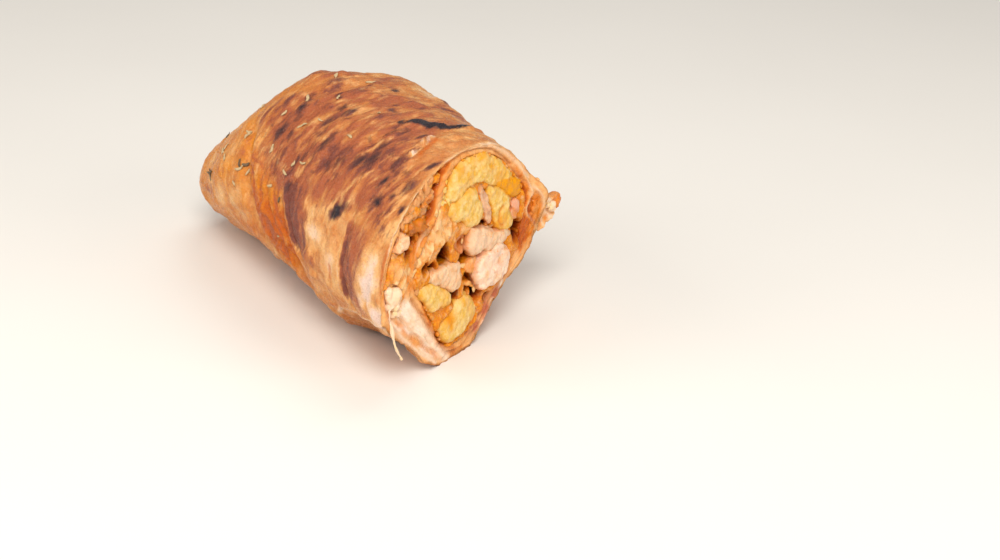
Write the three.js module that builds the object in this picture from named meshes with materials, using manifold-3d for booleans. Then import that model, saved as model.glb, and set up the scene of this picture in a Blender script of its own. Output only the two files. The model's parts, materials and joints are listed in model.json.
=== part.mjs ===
// One half of a rolled flatbread wrap with a chicken, potato and cheese filling, cut on the slant.
// Millimetres. The roll lies along X with its cut end towards +X, Y runs across it and Z is up.
// Inside the roll's own group x starts at the closed end. The group then moves the roll so that
// the part's origin is the middle of its base.

import * as THREE from "three";
import { mergeVertices } from "three/addons/utils/BufferGeometryUtils.js";
import Module from "manifold-3d";

const wasm = await Module();
wasm.setup();

// Whole roll
const ROLL_WIDTH = 70;
const ROLL_HEIGHT = 62.6;
const MID_HEIGHT = ROLL_HEIGHT / 2;
const AXIS_LENGTH = 121.7; // closed end to the cut, along the middle
const CUT_YAW = THREE.MathUtils.degToRad(24.57); // slant of the cut seen from above
const CUT_PITCH = THREE.MathUtils.degToRad(1.72); // slant of the cut seen from the side
const CUT_TURN = Math.tan(CUT_YAW);
const CUT_LEAN = Math.tan(CUT_PITCH) / Math.cos(CUT_YAW);
const BASE_MIDDLE = { x: 69.4, y: 6.54 }; // middle of the base, measured inside the roll
const SETTLE = 0.5; // the soft roll sinks this far into a flat strip below it

// Closed end: the roll narrows over TAPER_LENGTH and is rounded over TIP_LENGTH
const TAPER_LENGTH = 52;
const TAPER_SOFTNESS = 0.56; // 0 narrows as a parabola, 1 eases in and out
const TIP_LENGTH = 15.3;
const TIP_ROUNDNESS = 2.84;
const TIP_WIDTH = 48.4;
const TIP_HEIGHT = 29;
const TIP_RISE = 12.2;
const TAPER_SIDESTEP = 6;
const TIP_SIDESTEP = 3.85;

// The section at the cut, as [angle in degrees, radius relative to the roll's oval]
const RIM_SHAPE = [
  [0, 1.07], [15, 1.06], [32, 1.01], [60, 1.015], [90, 1], [120, 0.965], [150, 0.96], [180, 0.98],
  [200, 0.99], [225, 0.905], [247, 0.975], [268, 1.06], [285, 0.93], [305, 0.79], [320, 0.8], [342, 0.985],
];
const RIM_REACH = 42; // the oval turns into the rim's section over this length

// Soft swellings and sags of the skin: place, height, length along x and spread in degrees
const SWELLINGS = [
  { x: 97, angle: 228, height: 3, length: 13, spread: 20 },
  { x: 45, angle: 100, height: 1.8, length: 10, spread: 14 },
  { x: 57, angle: 57, height: 3, length: 13, spread: 16 },
  { x: 76, angle: 50, height: 1.4, length: 12, spread: 14 },
  { x: 9, angle: 150, height: 1.4, length: 8, spread: 25 },
  { x: 32, angle: 178, height: 1.5, length: 11, spread: 26 },
];

// Creases of the folded-in end: x at the near side's middle, slope in mm per degree, depth
const CREASES = [
  { x: 55, slope: 0.3, depth: 2.2, halfWidth: 3.2, from: 120, to: 232 },
  { x: 79, slope: 0.28, depth: 1.1, halfWidth: 3, from: 160, to: 226 },
  { x: 66, slope: 0.75, depth: 1.4, halfWidth: 3, from: 184, to: 236 },
  { x: 113.5, slope: 0.12, depth: 0.8, halfWidth: 3, from: 152, to: 212 },
];
const CREASE_FADE = 14; // degrees over which a crease dies out at each end

// Flap of the outer layer that stands out at the far side of the cut
const FLAP = { angle: 12, height: 3.6, spread: 15, length: 9 };

const RINGS = 30;
const SIDES = 46;
const CLEARANCE = 0.3; // gap between neighbouring pieces
const OVERSHOOT = 6; // cavities run this far out of the cut face

const smooth = (t) => {
  const s = THREE.MathUtils.clamp(t, 0, 1);
  return s * s * (3 - 2 * s);
};

const bell = (t) => Math.exp(-t * t);

const turnBetween = (a, b) => THREE.MathUtils.euclideanModulo(a - b + 180, 360) - 180;

// Smooth periodic value of an [angle, value] list
function aroundList(list, angle) {
  const count = list.length;
  const turned = THREE.MathUtils.euclideanModulo(angle, 360);
  let index = count - 1;
  while (index > 0 && list[index][0] > turned) index -= 1;
  const at = (step) => list[THREE.MathUtils.euclideanModulo(index + step, count)][1];
  const next = index === count - 1 ? list[0][0] + 360 : list[index + 1][0];
  const t = (turned - list[index][0]) / (next - list[index][0]);
  const linear = at(1) - at(-1);
  const square = 2 * at(-1) - 5 * at(0) + 4 * at(1) - at(2);
  const cube = 3 * at(0) - at(-1) - 3 * at(1) + at(2);
  return 0.5 * (2 * at(0) + linear * t + square * t * t + cube * t * t * t);
}

// x of the slanted cut at a place across and up
const cutAt = (y, z) => AXIS_LENGTH - CUT_TURN * y - CUT_LEAN * (z - MID_HEIGHT);

// Size and place of the roll's section at x
function sectionAt(x) {
  const reach = THREE.MathUtils.clamp((TAPER_LENGTH - x) / TAPER_LENGTH, 0, 1);
  const taper = THREE.MathUtils.lerp(reach * reach, smooth(reach), TAPER_SOFTNESS);
  const inTip = THREE.MathUtils.clamp((TIP_LENGTH - x) / TIP_LENGTH, 0, 1);
  const tip = (1 - inTip ** TIP_ROUNDNESS) ** (1 / TIP_ROUNDNESS);
  return {
    halfWidth: (ROLL_WIDTH - (ROLL_WIDTH - TIP_WIDTH) * taper) * tip / 2,
    height: (ROLL_HEIGHT - (ROLL_HEIGHT - TIP_HEIGHT) * taper) * tip,
    middle: -TAPER_SIDESTEP * taper - TIP_SIDESTEP * (1 - tip),
    base: TIP_RISE * (1 - tip),
    fullness: tip,
  };
}

// Carries a point of the full section, measured from its middle, to its place at x
function carry(x, across, up) {
  const section = sectionAt(x);
  const y = section.middle + across * section.halfWidth / (ROLL_WIDTH / 2);
  const z = section.base + section.height * (1 + up / MID_HEIGHT) / 2;
  return new THREE.Vector3(x, y, z);
}

function creaseDepth(x, angle) {
  let depth = 0;
  for (const crease of CREASES) {
    const away = (x - crease.x - crease.slope * (angle - 180)) / crease.halfWidth;
    const start = smooth((angle - crease.from) / CREASE_FADE);
    const end = smooth((crease.to - angle) / CREASE_FADE);
    depth += crease.depth * start * end * bell(away);
  }
  return depth;
}

function skinHeight(x, angle) {
  let height = -creaseDepth(x, angle);
  for (const swelling of SWELLINGS) {
    const along = (x - swelling.x) / swelling.length;
    const round = turnBetween(angle, swelling.angle) / swelling.spread;
    height += swelling.height * bell(along) * bell(round);
  }
  return height;
}

// A point of the skin
function skinPoint(x, angle) {
  const turn = THREE.MathUtils.degToRad(angle);
  const towardsRim = smooth((x - AXIS_LENGTH + RIM_REACH) / RIM_REACH);
  const rim = 1 + (aroundList(RIM_SHAPE, angle) - 1) * towardsRim;
  const radius = rim + skinHeight(x, angle) * sectionAt(x).fullness / MID_HEIGHT;
  const across = radius * Math.cos(turn) * ROLL_WIDTH / 2;
  const point = carry(x, across, radius * Math.sin(turn) * MID_HEIGHT);
  point.z = Math.max(point.z - SETTLE, 0);
  return point;
}

// A point of the skin by its share of the way from the closed end to the cut
function skinPointByShare(share, angle) {
  let point = skinPoint(share * AXIS_LENGTH, angle);
  for (let pass = 0; pass < 10; pass += 1) {
    point = skinPoint(share * cutAt(point.y, point.z), angle);
  }
  const fromCut = (1 - share) * AXIS_LENGTH;
  const round = turnBetween(angle, FLAP.angle) / FLAP.spread;
  const flare = bell(round) * bell(fromCut / FLAP.length);
  point.y += FLAP.height * flare;
  point.x += flare;
  return point;
}

// Closed body from rings of equal count, with a point at each end
function loft(firstTip, rings, lastTip) {
  const sides = rings[0].length;
  const points = [firstTip, ...rings.flat(), lastTip];
  const faces = [];
  const last = points.length - 1;
  for (let i = 0; i < sides; i += 1) {
    const j = (i + 1) % sides;
    faces.push(0, 1 + j, 1 + i);
    for (let ring = 0; ring < rings.length - 1; ring += 1) {
      const here = 1 + ring * sides;
      const next = here + sides;
      faces.push(here + i, here + j, next + j);
      faces.push(here + i, next + j, next + i);
    }
    faces.push(last, last - sides + i, last - sides + j);
  }
  const geometry = new THREE.BufferGeometry().setFromPoints(points);
  geometry.setIndex(faces);
  return geometry;
}

function toSolid(geometry) {
  const bare = geometry.clone();
  bare.deleteAttribute("normal");
  bare.deleteAttribute("uv");
  const merged = mergeVertices(bare, 1e-4);
  return new wasm.Manifold(new wasm.Mesh({
    numProp: 3,
    vertProperties: new Float32Array(merged.attributes.position.array),
    triVerts: new Uint32Array(merged.index.array),
  }));
}

function toGeometry(solid) {
  const mesh = solid.getMesh();
  const geometry = new THREE.BufferGeometry();
  geometry.setAttribute("position", new THREE.Float32BufferAttribute(mesh.vertProperties, 3));
  geometry.setIndex([...mesh.triVerts]);
  return geometry;
}

const anticlockwise = (points) => (THREE.ShapeUtils.isClockWise(points) ? points.reverse() : points);

// Closed outline through a few [across, up] points of the section, moved outward by grow
function outline(corners, sides, grow = 0) {
  const curve = new THREE.CatmullRomCurve3(
    corners.map(([across, up]) => new THREE.Vector3(across, up, 0)), true, "centripetal");
  const spaced = curve.getSpacedPoints(sides).slice(0, sides);
  const points = anticlockwise(spaced.map((p) => new THREE.Vector2(p.x, p.y)));
  return points.map((point, i) => {
    const before = points[(i + sides - 1) % sides];
    const after = points[(i + 1) % sides];
    const along = new THREE.Vector2().subVectors(after, before).normalize();
    return new THREE.Vector2(point.x + along.y * grow, point.y - along.x * grow);
  });
}

// Closed outline of a band of given width along a line through [across, up] points, with blunt ends
const BAND_BLUNTNESS = 6;
const BAND_END_WIDTH = 0.35; // share of the width that is left at each end

function band(line, width, sides, grow = 0) {
  const curve = new THREE.CatmullRomCurve3(line.map(([across, up]) => new THREE.Vector3(across, up, 0)));
  const half = sides / 2;
  const points = [];
  for (let i = 0; i < sides; i += 1) {
    const share = i < half ? i / (half - 1) : (sides - 1 - i) / (half - 1);
    const side = i < half ? 1 : -1;
    const blunt = Math.sqrt(Math.max(1 - (2 * share - 1) ** BAND_BLUNTNESS, BAND_END_WIDTH ** 2));
    const along = curve.getTangent(share);
    const away = side * (width * blunt / 2 + grow);
    const end = (share === 0 ? -1 : share === 1 ? 1 : 0) * grow;
    const middle = curve.getPoint(share);
    points.push(new THREE.Vector2(
      middle.x - along.y * away + along.x * end, middle.y + along.x * away + along.y * end));
  }
  return anticlockwise(points);
}

// Centre of the area inside an outline
function middleOf(points) {
  const middle = new THREE.Vector2();
  let weight = 0;
  points.forEach((point, i) => {
    const next = points[(i + 1) % points.length];
    const turn = point.cross(next);
    middle.addScaledVector(point, turn).addScaledVector(next, turn);
    weight += 3 * turn;
  });
  return middle.divideScalar(weight);
}

// Hollow or filling that follows the roll: an outline carried from xDeep to the cut, plus over
const DEEP_END_SIZE = 0.7;
const DEEP_END_CROWN = 0.02; // share of the length by which its deep end bulges

function runThrough(points, xDeep, over, steps) {
  const middle = middleOf(points);
  const place = (point, share, size) => {
    const across = middle.x + (point.x - middle.x) * size;
    const up = middle.y + (point.y - middle.y) * size;
    const target = cutAt(across, MID_HEIGHT + up) + over;
    return carry(xDeep + (target - xDeep) * share, across, up);
  };
  const rings = [];
  for (let step = 0; step <= steps; step += 1) {
    const size = step === 0 ? DEEP_END_SIZE : 1;
    rings.push(points.map((point) => place(point, step / steps, size)));
  }
  return loft(place(middle, -DEEP_END_CROWN, 1), rings, place(middle, 1, 1));
}

// Hollows of the wrap, as [across, up] outlines at the cut; deep is the x at which each starts
const CORE = {
  deep: 24,
  steps: 6,
  sides: 38,
  corners: [
    [0, 28.1], [5.5, 28.1], [10.8, 26.9], [16, 24.1], [20.6, 20.4], [25.2, 15.6], [29.2, 11.4], [30, 6.5],
    [29.6, 0], [28, -7.5], [22, -12.6], [16.4, -16], [11, -21], [6, -25.4], [1, -27.2], [-4.5, -27.2],
    [-8.6, -24.6], [-10.4, -20.4], [-12, -16.8], [-14.4, -13], [-16.8, -8.6], [-19.6, -3.6], [-20.2, 1.5],
    [-17.5, 7.2], [-11.5, 12.7], [-8.4, 18.5], [-5.8, 24.4],
  ],
};
const POCKET = {
  deep: 46,
  steps: 4,
  sides: 26,
  corners: [
    [-8.6, 27.6], [-14, 25.7], [-19.8, 22.4], [-24.8, 17.6], [-28.5, 12.6], [-31.1, 6.4], [-32.3, 0.6],
    [-30.8, -4.4], [-26.6, -5.6], [-23.8, 0], [-22.6, 6.5], [-18.3, 11.7], [-14, 16.5], [-11.6, 22],
  ],
};
const SLIT = { steps: 3, sides: 14 };
const SLITS = [
  { deep: 64, width: 0.7, line: [[-10.5, 27.4], [-5, 28.9], [1.5, 29.5], [8, 28.9], [14, 27], [19.5, 23.6]] },
  { deep: 97, width: 1.6, line: [[31.4, 11.6], [33.4, 6.5], [34.2, 1.5], [32.8, -5]] },
  { deep: 64, width: 0.8, line: [[-27, -7.4], [-22.8, -13], [-16, -20], [-10.6, -25.8], [-6.4, -29]] },
];

function hollowBody({ corners, sides, deep, steps }, grow = 0) {
  return toSolid(runThrough(outline(corners, sides, grow), deep - grow, OVERSHOOT, steps));
}

// Everything behind the cut, moved back by recess
function behindCut(recess) {
  const square = [[-1, -1], [1, -1], [1, 1], [-1, 1]];
  const corners = square.map(([y, z]) => [y * ROLL_WIDTH, MID_HEIGHT + z * ROLL_WIDTH]);
  const back = corners.map(([y, z]) => new THREE.Vector3(-ROLL_WIDTH, y, z));
  const front = corners.map(([y, z]) => new THREE.Vector3(cutAt(y, z) - recess, y, z));
  const middle = new THREE.Vector3(-ROLL_WIDTH, 0, MID_HEIGHT);
  return toSolid(loft(middle, [back, front], new THREE.Vector3(AXIS_LENGTH - recess, 0, MID_HEIGHT)));
}

function wrapBody() {
  const rings = [];
  for (let ring = 1; ring <= RINGS; ring += 1) {
    const even = ring / RINGS;
    const share = even * (0.45 + 0.55 * even);
    rings.push(Array.from({ length: SIDES }, (_, i) => skinPointByShare(share, i * 360 / SIDES)));
  }
  const tip = skinPoint(0, 0);
  const face = new THREE.Vector3(cutAt(0, MID_HEIGHT), 0, MID_HEIGHT);
  return loft(tip, rings, face);
}

// Dried herb flecks on the skin: x, angle and length, each lying at its own slant
const FLECKS = [
  [42, 147, 2.6], [57, 116, 3], [55, 130, 2.6], [66, 129, 3.6], [71, 122, 2.4], [65, 106, 2.6],
  [62, 148, 2.8], [76, 148, 2.2], [80, 145, 2.6], [75, 154, 2.4], [22, 141, 2.8], [33, 157, 3.4],
  [47, 169, 3.4], [26, 172, 4.2], [46, 178, 2.4], [75, 169, 2.2], [75, 190, 2.6], [88, 120, 2.4],
  [52, 96, 2.2], [38, 128, 2.4], [60, 84, 2.6], [84, 100, 2.2],
];
const FLECK_WIDTH = 1;
const FLECK_HEIGHT = 0.9;

function fleck([x, angle, length], index) {
  const skin = skinPoint(x, angle);
  const along = skinPoint(x + 1, angle).sub(skin).normalize();
  const round = skinPoint(x, angle + 1).sub(skin).normalize();
  const out = new THREE.Vector3().crossVectors(round, along).normalize();
  if (out.dot(new THREE.Vector3(0, skin.y, skin.z - MID_HEIGHT)) < 0) out.negate();
  const turn = index * 2.4; // golden angle, so that no two neighbours line up
  const lengthwise = along.multiplyScalar(Math.cos(turn)).addScaledVector(round, Math.sin(turn)).normalize();
  const across = new THREE.Vector3().crossVectors(out, lengthwise);
  lengthwise.multiplyScalar(length / 2);
  across.multiplyScalar(FLECK_WIDTH / 2);
  const geometry = new THREE.OctahedronGeometry(1, 0);
  geometry.applyMatrix4(new THREE.Matrix4().makeBasis(lengthwise, across, out.multiplyScalar(FLECK_HEIGHT)));
  geometry.translate(skin.x, skin.y, skin.z);
  return toSolid(geometry);
}

// Pieces of the filling. Each shows its end at the cut: corners or line give the outline there as
// [across, up] from the middle, proud is how far it stands out of the cut, run is its length.
const POTATO = [
  {
    name: "potato_slice_top", proud: 0.4, run: 48, sides: 24,
    corners: [[-7, 18.4], [-6, 22], [-4.7, 24.8], [-2, 26.6], [1.3, 27.5], [4.6, 27.5], [10.4, 26.2],
      [15.5, 23.4], [19.7, 19.9], [24.4, 15], [28.2, 11], [28.7, 8.6], [27.2, 7.4], [24.1, 9.4], [16.7, 15.2],
      [8.9, 19.4], [2, 20.3], [-2.2, 18.4], [-5.2, 17]],
  },
  {
    name: "potato_chunk_centre", proud: 0.9, run: 40, sides: 16,
    corners: [[-6.6, 14], [-4.9, 16.6], [0.6, 17.4], [2.6, 18.6], [5.2, 17.6], [6.7, 14], [9.2, 10.3],
      [9.2, 8.2], [6.6, 7.4], [2.6, 8.2], [-0.9, 10.3], [-4.3, 11.8]],
  },
  {
    name: "potato_chunk_right", proud: 0.6, run: 42, sides: 18,
    corners: [[11, 17.4], [15.6, 15.2], [19.9, 11.8], [22.6, 9.4], [22, 7.2], [22.8, 3.6], [24.1, 0.6],
      [21.3, 0.2], [17.7, 0.5], [15.4, 4.4], [14.2, 8.6], [12.2, 13.1]],
  },
  {
    name: "potato_chunk_left", proud: 0.8, run: 38, sides: 16,
    corners: [[-18.2, -4.6], [-14.8, -4.1], [-12.1, -4.4], [-9.3, -6.7], [-5.9, -9.9], [-4.2, -12.6],
      [-5.8, -13.5], [-9.2, -11.9], [-12.4, -12.8], [-14.7, -10.2], [-16.9, -7.8]],
  },
  {
    name: "potato_chunk_bottom", proud: 0.2, run: 46, sides: 18,
    corners: [[-5.2, -17.6], [-3.6, -15.4], [-0.8, -13.8], [2.7, -14.2], [5, -15.8], [6.8, -18.1],
      [7.5, -21.6], [5.3, -23.8], [0, -25.2], [-4.5, -26], [-7.9, -23.8], [-9.1, -20.9], [-9.2, -18.5]],
  },
];
const CHICKEN = [
  {
    name: "chicken_piece_upper", proud: 1.6, run: 36, sides: 16,
    corners: [[3.5, 6.7], [8.1, 5.3], [12.3, 2.7], [15.3, 1.2], [20.2, 0.6], [22.1, -1.3], [21.5, -3.1],
      [14.3, -2.7], [9.6, -2.9], [4.3, -1.3], [2.5, 1.7]],
  },
  {
    name: "chicken_piece_right", proud: 2.4, run: 34, sides: 18,
    corners: [[8.9, -2.7], [13.6, -2.4], [18.1, -3], [20.3, -4.7], [21.1, -9.8], [20.6, -12], [18.3, -13.8],
      [14.7, -14.4], [11.7, -14.6], [8.7, -13.8], [6.6, -11.5], [6.2, -9], [6.7, -6.5]],
  },
  {
    name: "chicken_piece_middle", proud: 0.8, run: 32, sides: 16,
    corners: [[-15, -2.2], [-12.2, -1.3], [-6.1, -1.4], [-1.6, -2], [-0.9, -4.2], [-0.3, -7.1], [-0.8, -9.6],
      [-2.4, -11.4], [-4.8, -10], [-7.1, -7.5], [-10.4, -5.1]],
  },
  {
    name: "chicken_strip_inner", proud: 0.6, run: 30, sides: 12, width: 2.8,
    line: [[7.6, 18.4], [9.4, 15], [10.8, 11.4], [12.2, 7.8], [13.8, 4]],
  },
  {
    name: "chicken_strand", proud: 0.6, run: 26, sides: 14,
    corners: [[1.8, -5.3], [4.3, -3.7], [7.8, -3.8], [8, -7.9], [7.8, -9.7], [5.6, -8], [3.4, -6.8]],
  },
  {
    name: "chicken_piece_far", proud: 0.4, run: 30, sides: 12,
    corners: [[23.6, 8.6], [26.4, 7.2], [27.9, 5.6], [27.1, 3.6], [25.6, 2.6], [23.8, 3.2], [23.2, 6]],
  },
  {
    name: "chicken_rolled_end", proud: -0.4, run: 28, sides: 12,
    corners: [[-2.7, 3.9], [-0.8, 5.6], [2, 5.2], [2.4, 2.4], [2.5, -0.4], [0.5, -0.5], [-1.8, 1.6]],
  },
  {
    name: "chicken_flap", proud: 0, run: 24, sides: 10, width: 1.3,
    line: [[1.2, -9.8], [4.2, -11], [7.2, -13.2]],
  },
];
const POCKET_CHICKEN = [
  {
    name: "chicken_piece_pocket_top", proud: 0.4, run: 34, sides: 14,
    corners: [[-18.2, 22.6], [-15.6, 24.4], [-13, 23.8], [-12.3, 22.4], [-13.3, 20.7], [-15.7, 19.3],
      [-17.7, 19.8]],
  },
  {
    name: "chicken_piece_pocket_middle", proud: 0, run: 30, sides: 12,
    corners: [[-22.8, 17.6], [-19.9, 18.4], [-17.2, 16.9], [-16.9, 14.9], [-18.8, 13.7], [-21.4, 13.4],
      [-22.9, 15]],
  },
  {
    name: "chicken_piece_pocket_low", proud: 0.8, run: 36, sides: 12,
    corners: [[-28.6, 12], [-27.4, 14.6], [-25, 15.8], [-23.7, 14.6], [-24.4, 12.2], [-25.6, 10],
      [-27.7, 10]],
  },
];
const CHEESE = {
  name: "melted_cheese", proud: 1.4, run: 34, sides: 14,
  corners: [[-32.2, 0.4], [-31.2, 2.4], [-29.1, 2.2], [-27, 0.6], [-26.3, -2.2], [-27, -4.5], [-30, -4.4],
    [-31.6, -2.4]],
};

// Strand of cheese that hangs from the cheese in front of the cut edge
const STRAND_LINE = [[-28.2, -1.4], [-31.4, -5], [-30.8, -10], [-29.2, -16], [-26.6, -20.6]];
const STRAND_THICKNESS = 1.2;
const STRAND_STANDOFF = 1.8; // middle of the strand to the cut face
const STRAND_STEPS = 12;

// Openings between the pieces, which show dark at the cut
const GAPS = [
  { corners: [[-5.9, 4.1], [-7.5, 0.1], [-8, -2], [-5.8, -2.4], [-4.3, -1.1], [-5.3, 1.2]], depth: 16 },
  { corners: [[9, 5.2], [11.4, 5], [13.4, 3.2], [12.6, 2.4], [10.2, 3.6]], depth: 12 },
  { corners: [[1.6, -3.4], [3.9, -2.8], [6.8, -3.5], [4, -4.7], [1.9, -4]], depth: 12 },
  { corners: [[2.9, -8.7], [4.6, -8.4], [6.7, -9.6], [5.4, -11], [3.5, -10.1]], depth: 10 },
  { corners: [[-16, 1.1], [-14.2, 1.5], [-11.4, 0.5], [-12.6, -1], [-15.8, 0.2]], depth: 9 },
  { corners: [[1.8, -11], [4.2, -11.9], [7.6, -14.6], [9.8, -17.2], [7.4, -16.6], [4, -13.6]], depth: 9 },
  { corners: [[-3, -11.8], [-1.2, -13.2], [-2.1, -14.6], [-3.4, -13.3]], depth: 8 },
  { corners: [[25.9, -0.3], [28.4, -0.3], [28.6, -3.7], [27.4, -5.9], [26.2, -4.4]], depth: 9 },
];
const GAP_SIDES = 8;

const FILLING_RECESS = 2.2; // the sauce lies this far behind the cut

// Torn lips of the outer layer at the far side of the cut, given like the pieces
const TORN_LIPS = [
  {
    proud: 0.8, run: 5.6, sides: 16,
    corners: [[34, 4.6], [39, 3.4], [43, 4], [46.4, 2.8], [49.3, 0.6], [46.8, -2.7], [41.8, -4], [36, -5.4],
      [33.5, -2]],
  },
  {
    proud: 0.4, run: 5, sides: 10,
    corners: [[33.6, 6.6], [36.4, 8.6], [38.6, 10.6], [39.6, 8.2], [39.2, 3], [35, 2]],
  },
];

// Rings of a piece, from its hidden end to the cut: size, and distance behind the hidden end or
// the front, in steps of the rounding
const END_ROUNDING = 1.1;
const END_SIZE = 0.6;
const END_STEPS = 3;
const FRONT_RINGS = [{ size: 1, steps: 2 }, { size: 0.93, steps: 0.6 }, { size: 0.72, steps: 0 }];
const FRONT_CROWN = 0.3; // the middle of the cut end stands out this far

const outlineOf = (piece, grow) => (
  piece.line ? band(piece.line, piece.width, piece.sides, grow) : outline(piece.corners, piece.sides, grow));

// Piece with rounded ends, cut on the slant like the roll; grow and reach give its seat
function pieceBody(piece, grow = 0, reach = 0) {
  const points = outlineOf(piece, grow);
  const middle = middleOf(points);
  const place = (across, up, back) => {
    const z = MID_HEIGHT + up;
    return new THREE.Vector3(cutAt(across, z) + piece.proud + reach - back, across, z);
  };
  const ring = (size, back) => points.map(({ x, y }) => (
    place(middle.x + (x - middle.x) * size, middle.y + (y - middle.y) * size, back)));
  const deep = piece.run + reach + grow;
  const rings = [ring(END_SIZE, deep), ring(1, deep - END_STEPS * END_ROUNDING)];
  for (const { size, steps } of FRONT_RINGS) rings.push(ring(size, steps * END_ROUNDING));
  return loft(place(middle.x, middle.y, deep), rings, place(middle.x, middle.y, -FRONT_CROWN));
}

function seatOf(piece) {
  return toSolid(pieceBody(piece, CLEARANCE, OVERSHOOT));
}

function gapBody({ corners, depth }) {
  return pieceBody({ corners, sides: GAP_SIDES, proud: 0, run: depth }, 0, OVERSHOOT);
}

function buildWrap() {
  let wrap = toSolid(wrapBody());
  FLECKS.forEach((entry, index) => {
    wrap = wrap.add(fleck(entry, index));
  });
  for (const lip of TORN_LIPS) wrap = wrap.add(toSolid(pieceBody(lip)));
  wrap = wrap.subtract(hollowBody(CORE)).subtract(hollowBody(POCKET));
  for (const { line, width, deep } of SLITS) {
    const slit = runThrough(band(line, width, SLIT.sides), deep, OVERSHOOT, SLIT.steps);
    wrap = wrap.subtract(toSolid(slit));
  }
  return wrap;
}

const largestOf = (solid) => solid.decompose().sort((a, b) => b.volume() - a.volume())[0];

// Pieces trimmed to the hollow that holds them and to the pieces already placed
function fitPieces(pieces, hollow) {
  const room = hollowBody(hollow, -CLEARANCE);
  return pieces.map((piece, index) => {
    let solid = toSolid(pieceBody(piece)).intersect(room);
    for (const placed of pieces.slice(0, index)) solid = solid.subtract(seatOf(placed));
    return largestOf(solid);
  });
}

// Sauced filling round the pieces, set back from the cut
function buildFilling(hollow, pieces, gaps) {
  let filling = hollowBody(hollow, -CLEARANCE).intersect(behindCut(FILLING_RECESS));
  for (const piece of pieces) filling = filling.subtract(seatOf(piece));
  for (const gap of gaps) filling = filling.subtract(toSolid(gapBody(gap)));
  return largestOf(filling);
}

// The hanging strand joins its piece of cheese
function addStrand(cheese) {
  const path = new THREE.CatmullRomCurve3(STRAND_LINE.map(([across, up], index) => {
    const out = index === 0 ? 0 : STRAND_STANDOFF;
    return new THREE.Vector3(cutAt(across, MID_HEIGHT + up) + out, across, MID_HEIGHT + up);
  }));
  const section = new THREE.Shape();
  section.absarc(0, 0, STRAND_THICKNESS / 2, 0, 2 * Math.PI);
  const strand = new THREE.ExtrudeGeometry(section, {
    steps: STRAND_STEPS, curveSegments: 3, extrudePath: path, bevelEnabled: false,
  });
  return cheese.add(toSolid(strand));
}

const finish = (color, roughness) => new THREE.MeshStandardMaterial({ color, roughness, metalness: 0 });
const LAVASH = finish(0xd9a15e, 0.62);
const POTATO_FINISH = finish(0xf0c23f, 0.5);
const CHICKEN_FINISH = finish(0xf1d6b0, 0.5);
const SAUCED_CHICKEN = finish(0xe0b07c, 0.5);
const MELTED_CHEESE = finish(0xf6dca6, 0.35);
const SAUCE = finish(0xe08a32, 0.4);

const roll = new THREE.Group();

function addNode(name, solid, material) {
  const mesh = new THREE.Mesh(toGeometry(solid), material.clone());
  mesh.name = name;
  roll.add(mesh);
}

const corePieces = [...POTATO, ...CHICKEN];
const pocketPieces = [CHEESE, ...POCKET_CHICKEN];

addNode("lavash_wrap", buildWrap(), LAVASH);
fitPieces(corePieces, CORE).forEach((solid, i) => {
  addNode(corePieces[i].name, solid, i < POTATO.length ? POTATO_FINISH : CHICKEN_FINISH);
});
const [cheese, ...pocketChicken] = fitPieces(pocketPieces, POCKET);
addNode(CHEESE.name, addStrand(cheese), MELTED_CHEESE);
pocketChicken.forEach((solid, i) => addNode(POCKET_CHICKEN[i].name, solid, SAUCED_CHICKEN));
addNode("sauced_filling", buildFilling(CORE, corePieces, GAPS), SAUCE);
addNode("pocket_filling", buildFilling(POCKET, pocketPieces, []), SAUCE);

roll.position.set(-BASE_MIDDLE.x, -BASE_MIDDLE.y, 0);

const wrapHalf = new THREE.Group();
wrapHalf.add(roll);

export default wrapHalf;
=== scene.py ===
"""Half of a chicken doner kebab wrap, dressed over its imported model.

The skin of the roll is worked out again from the sizes of the part, with its folds, scorch marks
and torn blisters. The pieces of the filling keep the form of their solids and gain fibres and lumps.
"""

import json
import math

import bmesh
import bpy
import numpy as np
from mathutils import Matrix, Vector


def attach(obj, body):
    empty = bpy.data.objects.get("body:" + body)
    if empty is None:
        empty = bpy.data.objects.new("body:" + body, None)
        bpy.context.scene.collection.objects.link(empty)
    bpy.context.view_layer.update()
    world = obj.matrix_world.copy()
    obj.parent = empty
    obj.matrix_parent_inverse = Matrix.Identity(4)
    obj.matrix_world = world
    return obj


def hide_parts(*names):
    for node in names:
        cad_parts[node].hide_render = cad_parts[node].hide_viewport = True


bl_info = {
    "name": "Doner kebab wrap half",
    "version": (1, 0, 0),
    "blender": (4, 5, 0),
    "location": "View3D > Sidebar > Wrap",
    "description": "Builds the griddled flatbread, the filling and the stage of a cut doner kebab wrap",
    "category": "Object",
}

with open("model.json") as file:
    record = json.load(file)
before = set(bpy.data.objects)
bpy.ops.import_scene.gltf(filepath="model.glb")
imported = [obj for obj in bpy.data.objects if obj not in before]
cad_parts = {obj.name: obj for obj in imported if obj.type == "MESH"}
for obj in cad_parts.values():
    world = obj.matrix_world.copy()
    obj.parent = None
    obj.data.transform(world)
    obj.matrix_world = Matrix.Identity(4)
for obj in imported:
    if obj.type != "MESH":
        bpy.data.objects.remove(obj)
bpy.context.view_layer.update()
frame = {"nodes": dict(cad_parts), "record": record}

MM = 0.001
SEED = 7

# The roll, in millimetres, with x from the closed end, y across and z up, as in the part
ROLL_WIDTH = 70.0
ROLL_HEIGHT = 62.6
MID_HEIGHT = ROLL_HEIGHT / 2
AXIS_LENGTH = 121.7
CUT_YAW = math.radians(24.57)
CUT_PITCH = math.radians(1.72)
CUT_TURN = math.tan(CUT_YAW)
CUT_LEAN = math.tan(CUT_PITCH) / math.cos(CUT_YAW)
BASE_MIDDLE = np.array([69.4, 6.54, 0.0])
SETTLE = 0.5  # how far the roll has sunk onto its underside

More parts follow.
